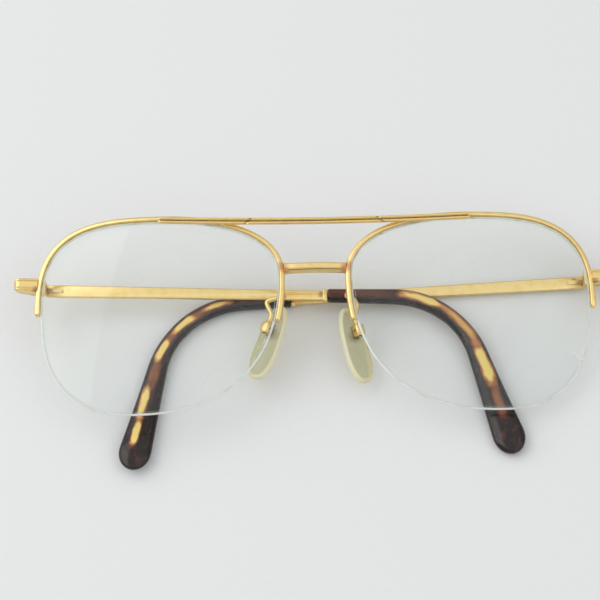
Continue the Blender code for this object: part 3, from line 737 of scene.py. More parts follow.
@dataclass(frozen=True)
class Tortoise:
    """Polished acetate: near-black brown with lengthwise amber and red-brown streaks laid in it; a faint
    streak can also carry a painted sheen.
    """

    dark: Colour = (0.012, 0.006, 0.004)
    brown: Colour = (0.135, 0.036, 0.020)
    orange: Colour = (0.52, 0.21, 0.065)
    amber: Colour = (0.90, 0.68, 0.20)

    def material(self, name: str, streaks: list[Streak]) -> bpy.types.Material:
        """Makes the acetate of one tip.

        Args:
            name: the material's name.
            streaks: where the amber lies, and the neck's partly painted sheen, in millimetres from the tip's
                start.

        Returns:
            The material.
        """
        recipe = Recipe(name)
        along, across, above = (recipe.painted(word) for word in ("along", "across", "above"))
        flow = recipe.joined(along * 0.2, across, above)
        broad = recipe.noise(flow, 1.1, 2.0, 0.5)
        streaky = recipe.noise(flow, 2.6, 5.0, 0.62)
        fine = recipe.noise(recipe.joined(along, across * 2.0, above * 2.0), 1.6, 4.0, 0.6)
        ragged = (broad - 0.5) * 1.5 + (streaky - 0.5) * 1.1
        amber = fine * 0.0
        for streak in streaks:
            middle, reach = (streak.start + streak.end) / 2, (streak.end - streak.start) / 2
            inside = ((along - middle).size() / reach + ragged * 0.5).ease(1.35, 0.25)
            band = ((across - streak.across).size() / streak.half + ragged * 0.6).ease(1.4, 0.15)
            amber = amber.most(inside * band * streak.amount)
        amber = (amber * (0.72 + streaky * 0.5)).clip()
        warm = (streaky.ease(0.52, 0.7) * 0.45).most(amber.ease(0.0, 0.22))
        colour = recipe.blend(warm, self.dark, self.brown)
        colour = recipe.blend(amber.ease(0.12, 0.5), colour, self.orange)
        colour = recipe.blend(amber.ease(0.42, 0.82), colour, self.amber)
        sockets = {
            "Base Color": colour,
            "Roughness": 0.13 + fine * 0.12,
            "Specular IOR Level": 0.4,
            "Coat Weight": 0.08 + fine * 0.1,
            "Coat Roughness": 0.08,
            "Normal": recipe.relief(fine, 0.02, 0.25),
        }
        return recipe.done(recipe.surface(sockets))


@dataclass(frozen=True)
class PaleTable:
    """The plain pale floor under the pair."""

    paper: Colour = (0.80, 0.80, 0.785)

    def material(self, name: str) -> bpy.types.Material:
        """Makes the floor, with the faintest grain, and open to a camera that looks up from below it.

        Args:
            name: the material's name.

        Returns:
            The material.
        """
        recipe = Recipe(name)
        place = recipe.coordinates(Matrix.Identity(4))
        grain = recipe.noise(place, 0.8, 4.0, 0.6)
        darker = tuple(value * 0.965 for value in self.paper)
        sockets = {"Base Color": recipe.blend(grain, self.paper, darker), "Roughness": 0.62}
        back = Signal(recipe, recipe.node("ShaderNodeNewGeometry").outputs["Backfacing"])
        seen = Signal(recipe, recipe.node("ShaderNodeLightPath").outputs["Is Camera Ray"])
        return recipe.done(recipe.mixed(back * seen, recipe.surface(sockets), recipe.clear()))


# Mesh making


class Skin:
    """A skin drawn through rings of points, each ring extruded from the one before.

    Its vertices carry how far along the skin they are, and where round it.
    """

    def __init__(self, ring: list[Vector], along: float = 0.0) -> None:
        """Starts on the first ring, in metres.

        Args:
            ring: the first ring's points.
            along: how far along the skin it lies, in millimetres.
        """
        self.bm = bmesh.new()
        self.order = self.bm.verts.layers.int.new("order")
        numbers = self.bm.verts.layers.float
        self.along, self.across, self.above = (numbers.new(name) for name in ("along", "across", "above"))
        count = len(ring)
        for vert in bmesh.ops.create_circle(self.bm, segments=count, radius=1.0)["verts"]:
            place = round(atan2(vert.co.y, vert.co.x) / (2 * pi) * count) % count
            vert[self.order] = place
            vert[self.along] = along
            vert[self.across] = cos(2 * pi * place / count)
            vert[self.above] = sin(2 * pi * place / count)
            vert.co = ring[place]
        self.edges = list(self.bm.edges)

    def ring(self, points: list[Vector], along: float = 0.0) -> list[bmesh.types.BMFace]:
        """Extrudes the last ring onto new points.

        Args:
            points: the new ring, in metres.
            along: how far along the skin it lies, in millimetres.

        Returns:
            The faces between the two rings.
        """
        made = bmesh.ops.extrude_edge_only(self.bm, edges=self.edges)["geom"]
        verts = {item for item in made if isinstance(item, bmesh.types.BMVert)}
        for vert in verts:
            vert.co = points[vert[self.order]]
            vert[self.along] = along
        self.edges = [
            item for item in made if isinstance(item, bmesh.types.BMEdge) and verts.issuperset(item.verts)
        ]
        return [item for item in made if isinstance(item, bmesh.types.BMFace)]

    def close(self) -> bmesh.types.BMesh:
        """Fills both ends and turns the faces outwards.

        Returns:
            The mesh.
        """
        ends = [edge for edge in self.bm.edges if edge.is_boundary]
        bmesh.ops.holes_fill(self.bm, edges=ends, sides=0)
        bmesh.ops.recalc_face_normals(self.bm, faces=self.bm.faces)
        return self.bm


def lofted(rings: list[list[Vector]], along: list[float] | None = None) -> bmesh.types.BMesh:
    """A closed skin through a run of rings.

    Args:
        rings: the rings in order, in metres.
        along: how far along the skin each ring lies, in millimetres.

    Returns:
        The mesh.
    """
    places = along or [0.0] * len(rings)
    skin = Skin(rings[0], places[0])
    for ring, place in zip(rings[1:], places[1:]):
        skin.ring(ring, place)
    return skin.close()


def to_object(name: str, bm: bmesh.types.BMesh, sharp: float = 38.0) -> bpy.types.Object:
    """Makes an object of a bmesh, shaded smooth up to an angle.

    Args:
        name: the object's name.
        bm: the bmesh, freed here.
        sharp: the angle in degrees from which an edge stays sharp.

    Returns:
        The object, linked to the scene.
    """
    mesh = bpy.data.meshes.new(name)
    bm.to_mesh(mesh)
    bm.free()
    mesh.shade_smooth()
    mesh.set_sharp_from_angle(angle=radians(sharp))
    made = bpy.data.objects.new(name, mesh)
    bpy.context.scene.collection.objects.link(made)
    return made


def welded(node: str, name: str, sharp: float = 34.0) -> bpy.types.Object:
    """A welded copy of a solid, for a finer finish.

    Args:
        node: the solid.
        name: the copy's name.
        sharp: the angle from which an edge stays sharp.

    Returns:
        The copy.
    """
    bm = bmesh.new()
    bm.from_mesh(frame["nodes"][node].data)
    bmesh.ops.remove_doubles(bm, verts=bm.verts, dist=0.000002)
    bmesh.ops.dissolve_limit(bm, angle_limit=radians(0.6), verts=bm.verts, edges=bm.edges)
    return to_object(name, bm, sharp)


def dress(
    piece: bpy.types.Object,
    finish: bpy.types.Material,
    body: str,
    slot: Slot,
    *nodes: str,
    more: list[bpy.types.Material] | None = None,
) -> bpy.types.Object:
    """Finishes a piece and puts it on its body.

    Args:
        piece: the piece, in its place.
        finish: its material.
        body: the body that it rides on.
        slot: the record's slot that it belongs to; not used.
        nodes: the solids that it stands for.
        more: further materials, for faces that name them.

    Returns:
        The piece.
    """
    piece.data.materials.clear()
    for each in [finish, *(more or [])]:
        piece.data.materials.append(each)
    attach(piece, body)
    if nodes:
        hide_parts(*nodes)
    LOG.info("%s: %d faces on %s", piece.name, len(piece.data.polygons), body)
    return piece


def round_section(width: float, depth: float, corner: float, steps: int = 4) -> list[tuple[float, float]]:
    """An oblong with round corners, as points about its middle.

    Args:
        width: its size across.
        depth: its size forward.
        corner: the radius of its corners.
        steps: points on a corner, less one.

    Returns:
        The points, anticlockwise.
    """
    points = []
    for quarter, (sx, sy) in enumerate(((1, 1), (-1, 1), (-1, -1), (1, -1))):
        for step in range(steps + 1):
            turn = pi / 2 * (quarter + step / steps)
            across = sx * (width / 2 - corner) + corner * cos(turn)
            forward = sy * (depth / 2 - corner) + corner * sin(turn)
            points.append((across, forward))
    return points


def around(count: int) -> list[float]:
    """Even turns round a circle, in radians."""
    return [2 * pi * k / count for k in range(count)]


def stations(half: float, count: int) -> list[float]:
    """Even places from one side of the middle to the other."""
    return [half * (2 * i / count - 1) for i in range(count + 1)]


def through(points: list[Vector], steps: int) -> list[Vector]:
    """A smooth run of points through a few chosen ones.

    Args:
        points: the chosen points.
        steps: points from one to the next.

    Returns:
        The smooth run.
    """
    ends = [points[0] * 2 - points[1], *points, points[-1] * 2 - points[-2]]
    run = []
    for a, b, c, d in zip(ends, ends[1:], ends[2:], ends[3:]):
        for i in range(steps):
            t = i / steps
            first = 2 * b + (c - a) * t + (2 * a - 5 * b + 4 * c - d) * t**2
            run.append(0.5 * first + 0.5 * (3 * b - a - 3 * c + d) * t**3)
    return [*run, points[-1]]


def wire(name: str, points: list[Vector], radii: list[float], turns: int = 20) -> bpy.types.Object:
    """A round wire along points.

    Args:
        name: its name.
        points: its middle line, in metres.
        radii: its radius at each point, in millimetres.
        turns: points round the wire.

    Returns:
        The wire.
    """
    rings = []
    along = (points[1] - points[0]).normalized()
    across = along.orthogonal().normalized()
    for i, point in enumerate(points):
        ahead = points[min(i + 1, len(points) - 1)] - points[max(i - 1, 0)]
        step = along.rotation_difference(ahead.normalized())
        along = ahead.normalized()
        across = (step @ across).normalized()
        other = along.cross(across)
        rings.append(
            [point + (across * cos(turn) + other * sin(turn)) * radii[i] * MM for turn in around(turns)]
        )
    return to_object(name, lofted(rings))


# The lens outline


@dataclass(frozen=True)
class LensShape:
    """The lens, in its own frame: u toward the temple, v up, in millimetres."""

    reach_temple: float = 29.2
    reach_nose: float = 28.6
    reach_top: float = 24.0
    reach_bottom: float = 23.6
    top_at: float = 3.0
    bottom_at: float = 5.0
    temple_at: float = 2.0
    nose_at: float = 9.6
    squares: tuple[float, float, float, float] = (3.0, 2.4, 2.3, 2.5)
    thickness: float = 2.0
    radius: float = 120.0

    def outline(self) -> list[Vector]:
        """The edge as many points, anticlockwise from the temple side.

        Returns:
            The points, in the lens's own frame.
        """
        quarters = (
            (self.top_at, self.temple_at, self.reach_temple - self.top_at, self.reach_top - self.temple_at),
            (self.top_at, self.nose_at, self.reach_nose + self.top_at, self.reach_top - self.nose_at),
            (
                self.bottom_at,
                self.nose_at,
                self.reach_nose + self.bottom_at,
                self.reach_bottom + self.nose_at,
            ),
            (
                self.bottom_at,
                self.temple_at,
                self.reach_temple - self.bottom_at,
                self.reach_bottom + self.temple_at,
            ),
        )
        steps = 240
        points = []
        for i, (u, v, across, up) in enumerate(quarters):
            power = 2 / self.squares[i]
            for step in range(steps):
                turn = pi / 2 * (i + step / steps)
                c, s = cos(turn), sin(turn)
                x = u + across * abs(c) ** power * (1 if c > 0 else -1)
                y = v + up * abs(s) ** power * (1 if s > 0 else -1)
                points.append(Vector((x, y)))
        return points

    def dome(self, u: float, v: float) -> float:
        """How far the lens's middle surface lies behind its vertex."""
        return sqrt(self.radius**2 - u**2 - v**2) - self.radius


class Edge:
    """The lens's edge, measured by its length from the temple side."""

    def __init__(self, shape: LensShape) -> None:
        """Measures the outline."""
        self.shape = shape
        self.dense = shape.outline()
        self.lengths = [0.0]
        for a, b in zip(self.dense, self.dense[1:] + self.dense[:1]):
            self.lengths.append(self.lengths[-1] + (b - a).length)
        self.total = self.lengths[-1]

    def at(self, length: float) -> Vector:
        """The point at this length."""
        length %= self.total
        i = min(bisect_right(self.lengths, length) - 1, len(self.dense) - 1)
        near, far = self.dense[i], self.dense[(i + 1) % len(self.dense)]
        return near + (far - near) * ((length - self.lengths[i]) / (self.lengths[i + 1] - self.lengths[i]))

    def outward(self, length: float) -> Vector:
        """The direction out of the lens at this length."""
        along = self.at(length + 0.5) - self.at(length - 0.5)
        return Vector((along.y, -along.x)).normalized()

    def length_at(self, height: float, on_nose_side: bool) -> float:
        """The length at which the edge passes a height.

        Args:
            height: the height, v.
            on_nose_side: which side of the lens.

        Returns:
            The length.
        """
        found = [
            (abs(point.y - height), length)
            for point, length in zip(self.dense, self.lengths)
            if (point.x < 0) == on_nose_side
        ]
        return min(found)[1]


# The front's frame


def front_frame(hinge: Vector) -> Matrix:
    """The front's own frame, found from the two temple joints.

    Args:
        hinge: the right hinge in the front's frame, in millimetres.

    Returns:
        The frame in the row frame, in metres.
    """
    joints = {joint["name"]: joint for joint in frame["joints"]}
    left, right = joints["left_temple_fold"], joints["right_temple_fold"]
    across = (Vector(right["pos_m"]) - Vector(left["pos_m"])).normalized()
    up = Vector(left["axis"]) - Vector(right["axis"])
    up = (up - across * up.dot(across)).normalized()
    turned = Matrix((across, up, across.cross(up))).transposed().to_4x4()
    middle = (Vector(left["pos_m"]) + Vector(right["pos_m"])) / 2
    behind = Matrix.Translation(-Vector((0, hinge.y, hinge.z)) * MM)
    return Matrix.Translation(middle) @ turned @ behind


HINGE = Vector((66.912, 9.9, -10.421))
SHAPE = LensShape()
EDGE = Edge(SHAPE)
FRONT = front_frame(HINGE)
GOLD = GoldPlate()
STEEL = OldScrewMetal()


def spot(own_frame: Matrix, *point: float) -> Vector:
    """A point given in a piece's own frame in millimetres, in the row frame in metres."""
    return own_frame @ (Vector(point) * MM)


def marks_at(own_frame: Matrix, *rows: tuple[float, float, float, float, float]) -> list[Mark]:
    """Marks in one frame, each given by its x, y, z, radius and amount."""
    return [Mark(spot(own_frame, x, y, z), radius, amount) for x, y, z, radius, amount in rows]


# The eyes


@dataclass
class Eye:
    """One eye: its lens, metal half rim, clear liner and nylon line."""

    side: Side
    eye_x: float = 37.8
    wrap: float = 5.0
    rim_width: float = 1.15
    rim_depth: float = 2.1
    standoff: float = 0.45
    nose_end_height: float = -1.2
    temple_end_height: float = 2.3
    liner_out: float = 0.15
    liner_size: tuple[float, float] = (0.4, 0.5)
    cord_diameter: float = 0.55
    groove: tuple[float, float] = (0.55, 0.8)
    own_frame: Matrix = field(init=False)
    nose_end: float = field(init=False)
    temple_end: float = field(init=False)

    def __post_init__(self) -> None:
        """Places the eye and finds both ends of its rim."""
        sign = self.side.sign
        middle = Matrix.Translation((sign * self.eye_x * MM, 0, 0))
        self.own_frame = FRONT @ middle @ Matrix.Rotation(radians(self.wrap) * sign, 4, "Y")
        self.nose_end = EDGE.length_at(self.nose_end_height, True)
        self.temple_end = EDGE.length_at(self.temple_end_height, False)
        if self.temple_end > EDGE.total / 2:
            self.temple_end -= EDGE.total

    def beside(self, length: float, out: float, forward: float) -> Vector:
        """A point beside the lens's edge, in the row frame.

        Args:
            length: how far along the edge.
            out: how far outside it.
            forward: how far in front of the lens's middle surface.

        Returns:
            The point in metres.
        """
        u, v = EDGE.at(length) + EDGE.outward(length) * out
        return spot(self.own_frame, self.side.sign * u, v, SHAPE.dome(u, v) + forward)

    def rim_out(self) -> float:
        """How far the middle of the rim lies outside the lens."""
        return self.standoff + self.rim_width / 2

    def build(self) -> None:
        """Builds and dresses the whole eye."""
        self.lens()
        self.rim()
        self.liner()
        self.nylon_line()

    def face_ring(self, share: float, forward: float, marks: list[float]) -> list[Vector]:
        """A ring on the lens's face.

        Args:
            share: how far from the lens's centre to its edge, 0 to 1.
            forward: how far in front of the lens's middle surface.
            marks: the lengths along the edge that it follows.

        Returns:
            The ring's points in metres.
        """
        ring = []
        for mark in marks:
            u, v = EDGE.at(mark) * share
            ring.append(spot(self.own_frame, self.side.sign * u, v, SHAPE.dome(u, v) + forward))
        return ring

    def lens(self) -> None:
        """The lens: two curved faces and a ground, grooved edge."""
        name = self.side.name
        marks = [EDGE.total * i / 208 for i in range(208)]
        half, (depth, width) = SHAPE.thickness / 2, self.groove
        faces = [0.03, 0.1, 0.2, 0.3, 0.4, 0.5, 0.6, 0.7, 0.8, 0.88, 0.95]
        section = [(-0.16, half), (-0.03, half - 0.05), (0.0, half - 0.18), (0.0, width / 2)]
        section += [(-depth * 0.8, width * 0.42), (-depth, width * 0.25)]
        section += [(out, -forward) for out, forward in reversed(section)]
        skin = Skin(self.face_ring(faces[0], half, marks))
        for share in faces[1:]:
            skin.ring(self.face_ring(share, half, marks))
        skin.ring([self.beside(mark, *section[0]) for mark in marks])
        for out, forward in section[1:]:
            for face in skin.ring([self.beside(mark, out, forward) for mark in marks]):
                face.material_index = 1
        for share in reversed(faces):
            skin.ring(self.face_ring(share, -half, marks))
        hairline = HAIRLINE if self.side is RIGHT else []
        glass = LensGlass().material(name + "_lens_glass", self.own_frame, hairline)
        edge = LensEdge().material(name + "_lens_edge", self.own_frame)
        piece = to_object(name + "_lens_glass", skin.close(), 30.0)
        dress(piece, glass, "front", Slot.GLASS, name + "_lens", more=[edge])

    def along(self, start: float, end: float, spacing: float) -> list[float]:
        """Even stations along the edge, closer together near both ends.

        Args:
            start: the first length along the edge.
            end: the last one.
            spacing: about how far apart the others lie.

        Returns:
            The lengths, in millimetres.
        """
        count = round((end - start) / spacing)
        inner = [start + (end - start) * i / count for i in range(1, count)]
        close = [0.0, 0.08, 0.22, 0.42, 0.7]
        first = [start + step for step in close]
        last = [end - step for step in reversed(close)]
        return first + [mark for mark in inner if start + 1.0 < mark < end - 1.0] + last

    def rim(self) -> None:
        """The half rim: rounded at the nose, drawn to a point at the temple side."""
        name = self.side.name
        section = round_section(self.rim_width, self.rim_depth, 0.36)
        rings = []
        for mark in self.along(self.temple_end, self.nose_end, 0.8):
            past = mark - self.temple_end
            tail = min(1.0, 0.55 + past / 1.3)
            wide = 1 + 0.3 * max(0.0, 1 - past / 8.5)
            nose = min(1.0, max(0.0, (self.nose_end - mark) / 0.55))
            full = tail * sqrt(max(0.03, 1 - (1 - nose) ** 2))
            inner = (full - 1) * self.rim_width * 0.2
            ring = []
            for across, forward in section:
                out = self.rim_out() + inner + across * full * wide + self.rim_width / 2 * (wide - 1)
                ring.append(self.beside(mark, out, forward * (0.35 + 0.65 * full)))
            rings.append(ring)
        copper = [
            Mark(self.beside(EDGE.length_at(11.8, True), self.rim_out(), 0.6), 2.2, 0.9),
            Mark(self.beside(EDGE.length_at(5.4, True), self.rim_out(), -0.8), 1.5, 0.8),
        ]
        brown = [Mark(self.beside(EDGE.length_at(9.9, False), self.rim_out(), -0.4), 1.6, 0.8)]
        gold = GOLD.material(name + "_rim_gold", self.own_frame, copper, brown)
        dress(to_object(name + "_rim_wire", lofted(rings)), gold, "front", Slot.GOLD, name + "_rim")

    def liner(self) -> None:
        """The clear strip between the rim and the lens."""
        name = self.side.name
        section = round_section(*self.liner_size, 0.1, 2)
        rings = []
        for mark in self.along(self.temple_end, self.nose_end, 0.8):
            ring = [self.beside(mark, self.liner_out + across, forward) for across, forward in section]
            rings.append(ring)
        plastic = ClearPlastic((0.88, 0.87, 0.80), (0.62, 0.55, 0.38), 0.15, 0.3)
        piece = to_object(name + "_rim_liner_strip", lofted(rings))
        finish = plastic.material(name + "_liner_plastic", self.own_frame)
        dress(piece, finish, "front", Slot.LINER, name + "_rim_liner")

    def nylon_line(self) -> None:
        """The nylon line in the lens's lower groove, each end tucked into the rim's end."""
        name = self.side.name
        radius, out = self.cord_diameter / 2, self.cord_diameter * 0.1
        rings = []
        for mark in self.along(self.nose_end + 0.3, EDGE.total + self.temple_end - 0.3, 0.9):
            rings.append(
                [self.beside(mark, out + radius * cos(turn), radius * sin(turn)) for turn in around(12)]
            )
        plastic = ClearPlastic((0.93, 0.94, 0.92), (0.80, 0.79, 0.70), 0.3, 0.18)
        piece = to_object(name + "_nylon_line", lofted(rings))
        finish = plastic.material(name + "_line_plastic", self.own_frame)
        dress(piece, finish, "front", Slot.NYLON, name + "_nylon_cord")


HAIRLINE = [(24.4, -9.3, 0.0), (26.1, -10.9, 0.0), (27.3, -11.5, 0.0)]


# What joins the eyes


@dataclass
class Front:
    """The brow bar and the lower bridge, in the front's frame."""

    brow_half: float = 38.0
    brow_height: float = 1.6
    brow_depth: float = 1.3
    brow_rise: float = 24.2
    brow_sag: float = 1.0
    brow_forward: float = -0.415
    brow_bow: float = 1.0
    groove: float = 0.55
    seam_start: float = 14.0
    seam_inner: float = 20.0
    seam_outer: float = 36.6
    seam_pitch: float = 0.6
    seam_width: float = 0.75
    seam_sink: float = 0.2
    notch_at: float = 16.0
    notch: float = 0.72
    bridge_at: float = 11.8
    bridge_half: float = 7.3
    bridge_height: float = 2.5
    bridge_depth: float = 1.9
    bridge_bow: float = 0.8
    bridge_forward: float = -1.706
    bridge_sink: float = 0.28
    bead: float = 0.15
    bead_pitch: float = 0.34
    bead_margin: float = 0.9
    shade_margin: float = 0.6
    solder_size: tuple[float, float, float] = (0.42, 1.35, 0.98)
    solder_back: float = 1.79

    def build(self) -> None:
        """Builds and dresses the bar, the bridge and its bead line."""
        self.brow_bar()
        self.groove_shade()
        self.bridge()
        self.bead_line()
        for sign in (-1, 1):
            self.solder(sign)
            self.brow_seam(sign)

    def brow_bar(self) -> None:
        """The bar from lens to lens: two ridges, a groove and an oblique cut at each side."""
        y, z = self.brow_height / 2, self.brow_depth / 2
        section = [(0.72 * y, -z), (0.92 * y, -0.8 * z), (y, -0.5 * z), (y, 0.3 * z), (0.93 * y, 0.68 * z)]
        section += [(0.76 * y, 0.93 * z), (0.55 * y, z), (0.33 * y, 0.9 * z)]
        section += [(0.14 * y, z - self.groove * 0.8), (0.0, z - self.groove)]
        section += [(-across, forward) for across, forward in reversed(section[:-1])]
        rings = []
        for x in stations(self.brow_half, 190):
            full = min(1.0, 0.55 + (self.brow_half - abs(x)) / 1.1)
            y_middle, z_middle = self.brow_line(x)
            ring = [
                spot(FRONT, x, y_middle + across * full, z_middle + forward * full)
                for across, forward in section
            ]
            rings.append(ring)
        piece = to_object("brow_bar_ridged", lofted(rings), 50.0)
        self.cut_notches(piece)
        gold = GOLD.material("brow_bar_gold", FRONT)
        dress(piece, gold, "front", Slot.GOLD, "brow_bar")

    def brow_line(self, x: float) -> tuple[float, float]:
        """The height and the forward place of the bar's middle line at this distance from the centre."""
        share = 1 - (x / self.brow_half) ** 2
        return self.brow_rise - self.brow_sag * share, self.brow_forward + self.brow_bow * share

    def groove_shade(self) -> None:
        """The dark line of painted shade at the bottom of the bar's groove."""
        # A dark strip laid on the groove's floor: painted shade.
        section = round_section(0.4, 0.12, 0.05, 2)
        rings = []
        for x in stations(self.brow_half - 0.5, 150):
            y_middle, z_middle = self.brow_line(x)
            floor = z_middle + self.brow_depth / 2 - self.groove + 0.09
            ring = [spot(FRONT, x, y_middle + across, floor + forward) for across, forward in section]
            rings.append(ring)
        finish = PaintedGrooveShade().material("brow_groove_painted_shade", FRONT)
        dress(to_object("brow_groove_painted_shade", lofted(rings)), finish, "front", Slot.GOLD)

    def brow_seam(self, sign: int) -> None:
        """The seam of solder that joins the bar's back to the top of one rim.

        Args:
            sign: -1 for the left rim, 1 for the right one.
        """
        eye = Eye(LEFT if sign < 0 else RIGHT)
        name = eye.side.name
        rings = []
        mark = EDGE.length_at(self.seam_start, True)
        while mark > eye.temple_end:
            rim = FRONT.inverted() @ eye.beside(mark, eye.rim_out(), eye.rim_depth / 2) / MM
            mark -= self.seam_pitch
            if abs(rim.x) < self.seam_inner:
                continue
            if abs(rim.x) > self.seam_outer:
                break
            y_bar, z_bar = self.brow_line(rim.x)
            y = (rim.y - eye.rim_width / 2 + y_bar + self.brow_height / 2) / 2
            top, bottom = z_bar - self.brow_depth / 2 + self.seam_sink, rim.z - self.seam_sink
            wobble = 1 + 0.18 * sin(mark * 2.3 + sign)
            ring = []
            for across, forward in round_section(self.seam_width * wobble, top - bottom, 0.2, 3):
                ring.append(spot(FRONT, rim.x, y + across, (top + bottom) / 2 + forward))
            rings.append(ring)
        gold = GOLD.material(name + "_brow_seam_gold", FRONT)
        dress(to_object(name + "_brow_seam", lofted(rings)), gold, "front", Slot.GOLD)

    def cut_notches(self, piece: bpy.types.Object) -> None:
        """Cuts the oblique mark into the bar's face at each side.

        Args:
            piece: the brow bar, which is changed.
        """
        for sign in (-1, 1):
            x = sign * self.notch_at
            y_middle, z_middle = self.brow_line(x)
            bm = bmesh.new()
            bmesh.ops.create_cube(bm, size=1.0)
            bmesh.ops.scale(bm, vec=(self.notch * MM, 5 * MM, self.notch * 1.9 * MM), verts=bm.verts)
            turn = Matrix.Rotation(radians(45) * sign, 4, "Z")
            at = Matrix.Translation(Vector((x, y_middle, z_middle + self.brow_depth / 2)) * MM)
            bmesh.ops.transform(bm, matrix=FRONT @ at @ turn, verts=bm.verts)
            cutter = to_object(f"notch_cutter_{sign + 2}", bm)
            step = piece.modifiers.new("oblique_cut", "BOOLEAN")
            step.operation = "DIFFERENCE"
            step.solver = "EXACT"
            step.object = cutter
            apply_modifiers(piece)
            bpy.data.objects.remove(cutter, do_unlink=True)

    def bridge(self) -> None:
        """The lower bridge, flared at both ends where it is soldered to the rims."""
        y, z = self.bridge_height / 2, self.bridge_depth / 2
        section = [(y, -0.4 * z), (y, 0.35 * z), (0.93 * y, 0.72 * z), (0.76 * y, 0.95 * z), (0.55 * y, z)]
        section += [(-0.04 * y, z), (-0.12 * y, 0.93 * z), (-0.18 * y, 0.78 * z), (-0.36 * y, 0.72 * z)]
        section += [(-0.43 * y, 0.78 * z), (-0.5 * y, 0.79 * z), (-0.9 * y, 0.42 * z), (-y, 0.12 * z)]
        section += [(-y, -0.4 * z), (-0.9 * y, -0.8 * z), (-0.6 * y, -z), (0.6 * y, -z), (0.9 * y, -0.8 * z)]
        rings = []
        reach = self.bridge_half + self.bridge_sink
        for x in stations(reach, 60):
            flare = 1 + 0.16 * max(0.0, 1 - (reach - abs(x))) ** 2
            middle = self.bridge_line(x)
            rings.append(
                [
                    spot(FRONT, x, self.bridge_at + across * flare, middle + forward * flare)
                    for across, forward in section
                ]
            )
        end, height, depth = self.bridge_half + 0.1, self.bridge_at - 0.2, self.bridge_forward + 0.4
        copper = marks_at(FRONT, *((sign * end, height, depth, 2.0, 1.0) for sign in (-1, 1)))
        gold = GOLD.material("bridge_gold", FRONT, copper)
        dress(to_object("bridge_bar", lofted(rings)), gold, "front", Slot.GOLD, "bridge")

    def bridge_line(self, x: float) -> float:
        """How far forward the bridge's middle line lies at this distance from the centre."""
        return self.bridge_forward + self.bridge_bow * (1 - (x / self.bridge_half) ** 2)

    def bead_line(self) -> None:
        """The row of tiny beads along the lower front edge of the bridge, on a dark line of painted shade."""
        bm = bmesh.new()
        reach = self.bridge_half - self.bead_margin
        count = round(2 * reach / self.bead_pitch)
        for x in stations(reach, count):
            y = self.bridge_at - self.bridge_height * 0.13
            z = self.bridge_line(x) + self.bridge_depth * 0.4
            place = Matrix.Translation(spot(FRONT, x, y, z))
            bmesh.ops.create_icosphere(bm, subdivisions=2, radius=self.bead * MM, matrix=place)
        piece = to_object("bridge_bead_line", bm, 60.0)
        dress(piece, GOLD.material("bead_line_gold", FRONT), "front", Slot.GOLD)
        # A dark brown strip under the beads: painted shade on the bridge's lower facet.
        section = round_section(0.24, 0.1, 0.04, 2)
        rings = []
        for x in stations(self.bridge_half - self.shade_margin, count):
            y = self.bridge_at - self.bridge_height * 0.19
            z = self.bridge_line(x) + self.bridge_depth * 0.385
            rings.append([spot(FRONT, x, y + across, z + forward) for across, forward in section])
        finish = PaintedGrooveShade().material("bead_line_painted_shade", FRONT)
        dress(to_object("bead_line_painted_shade", lofted(rings)), finish, "front", Slot.GOLD)

    def solder(self, sign: int) -> None:
        """The small fillet of old solder between the bridge and one rim.

        Args:
            sign: -1 for the left rim, 1 for the right one.
        """
        bm = bmesh.new()
        bmesh.ops.create_icosphere(bm, subdivisions=3, radius=MM)
        for vert in bm.verts:
            lump = 1 + 0.12 * sin(vert.co.x * 4100 + sign) * sin(vert.co.y * 3300 + 1.3)
            vert.co *= lump
        size = Matrix.Diagonal((*self.solder_size, 1.0))
        x = sign * (self.bridge_half + 0.2)
        at = Matrix.Translation(Vector((x, self.bridge_at - 0.1, -self.solder_back)) * MM)
        bmesh.ops.transform(bm, matrix=FRONT @ at @ size, verts=bm.verts)
        side = "left" if sign < 0 else "right"
        marks = marks_at(FRONT, (x, self.bridge_at, -0.95, 3.0, 1.0))
        gold = GOLD.material(f"{side}_solder_copper", FRONT, marks)
        dress(to_object(f"{side}_bridge_solder", bm, 80.0), gold, "front", Slot.GOLD)


def apply_modifiers(piece: bpy.types.Object) -> None:
    """Puts a piece's modifiers into its mesh.

    Args:
        piece: the piece, which is changed.
    """
    graph = bpy.context.evaluated_depsgraph_get()
    mesh = bpy.data.meshes.new_from_object(piece.evaluated_get(graph))
    piece.modifiers.clear()
    piece.data = mesh


# Hinges and temples


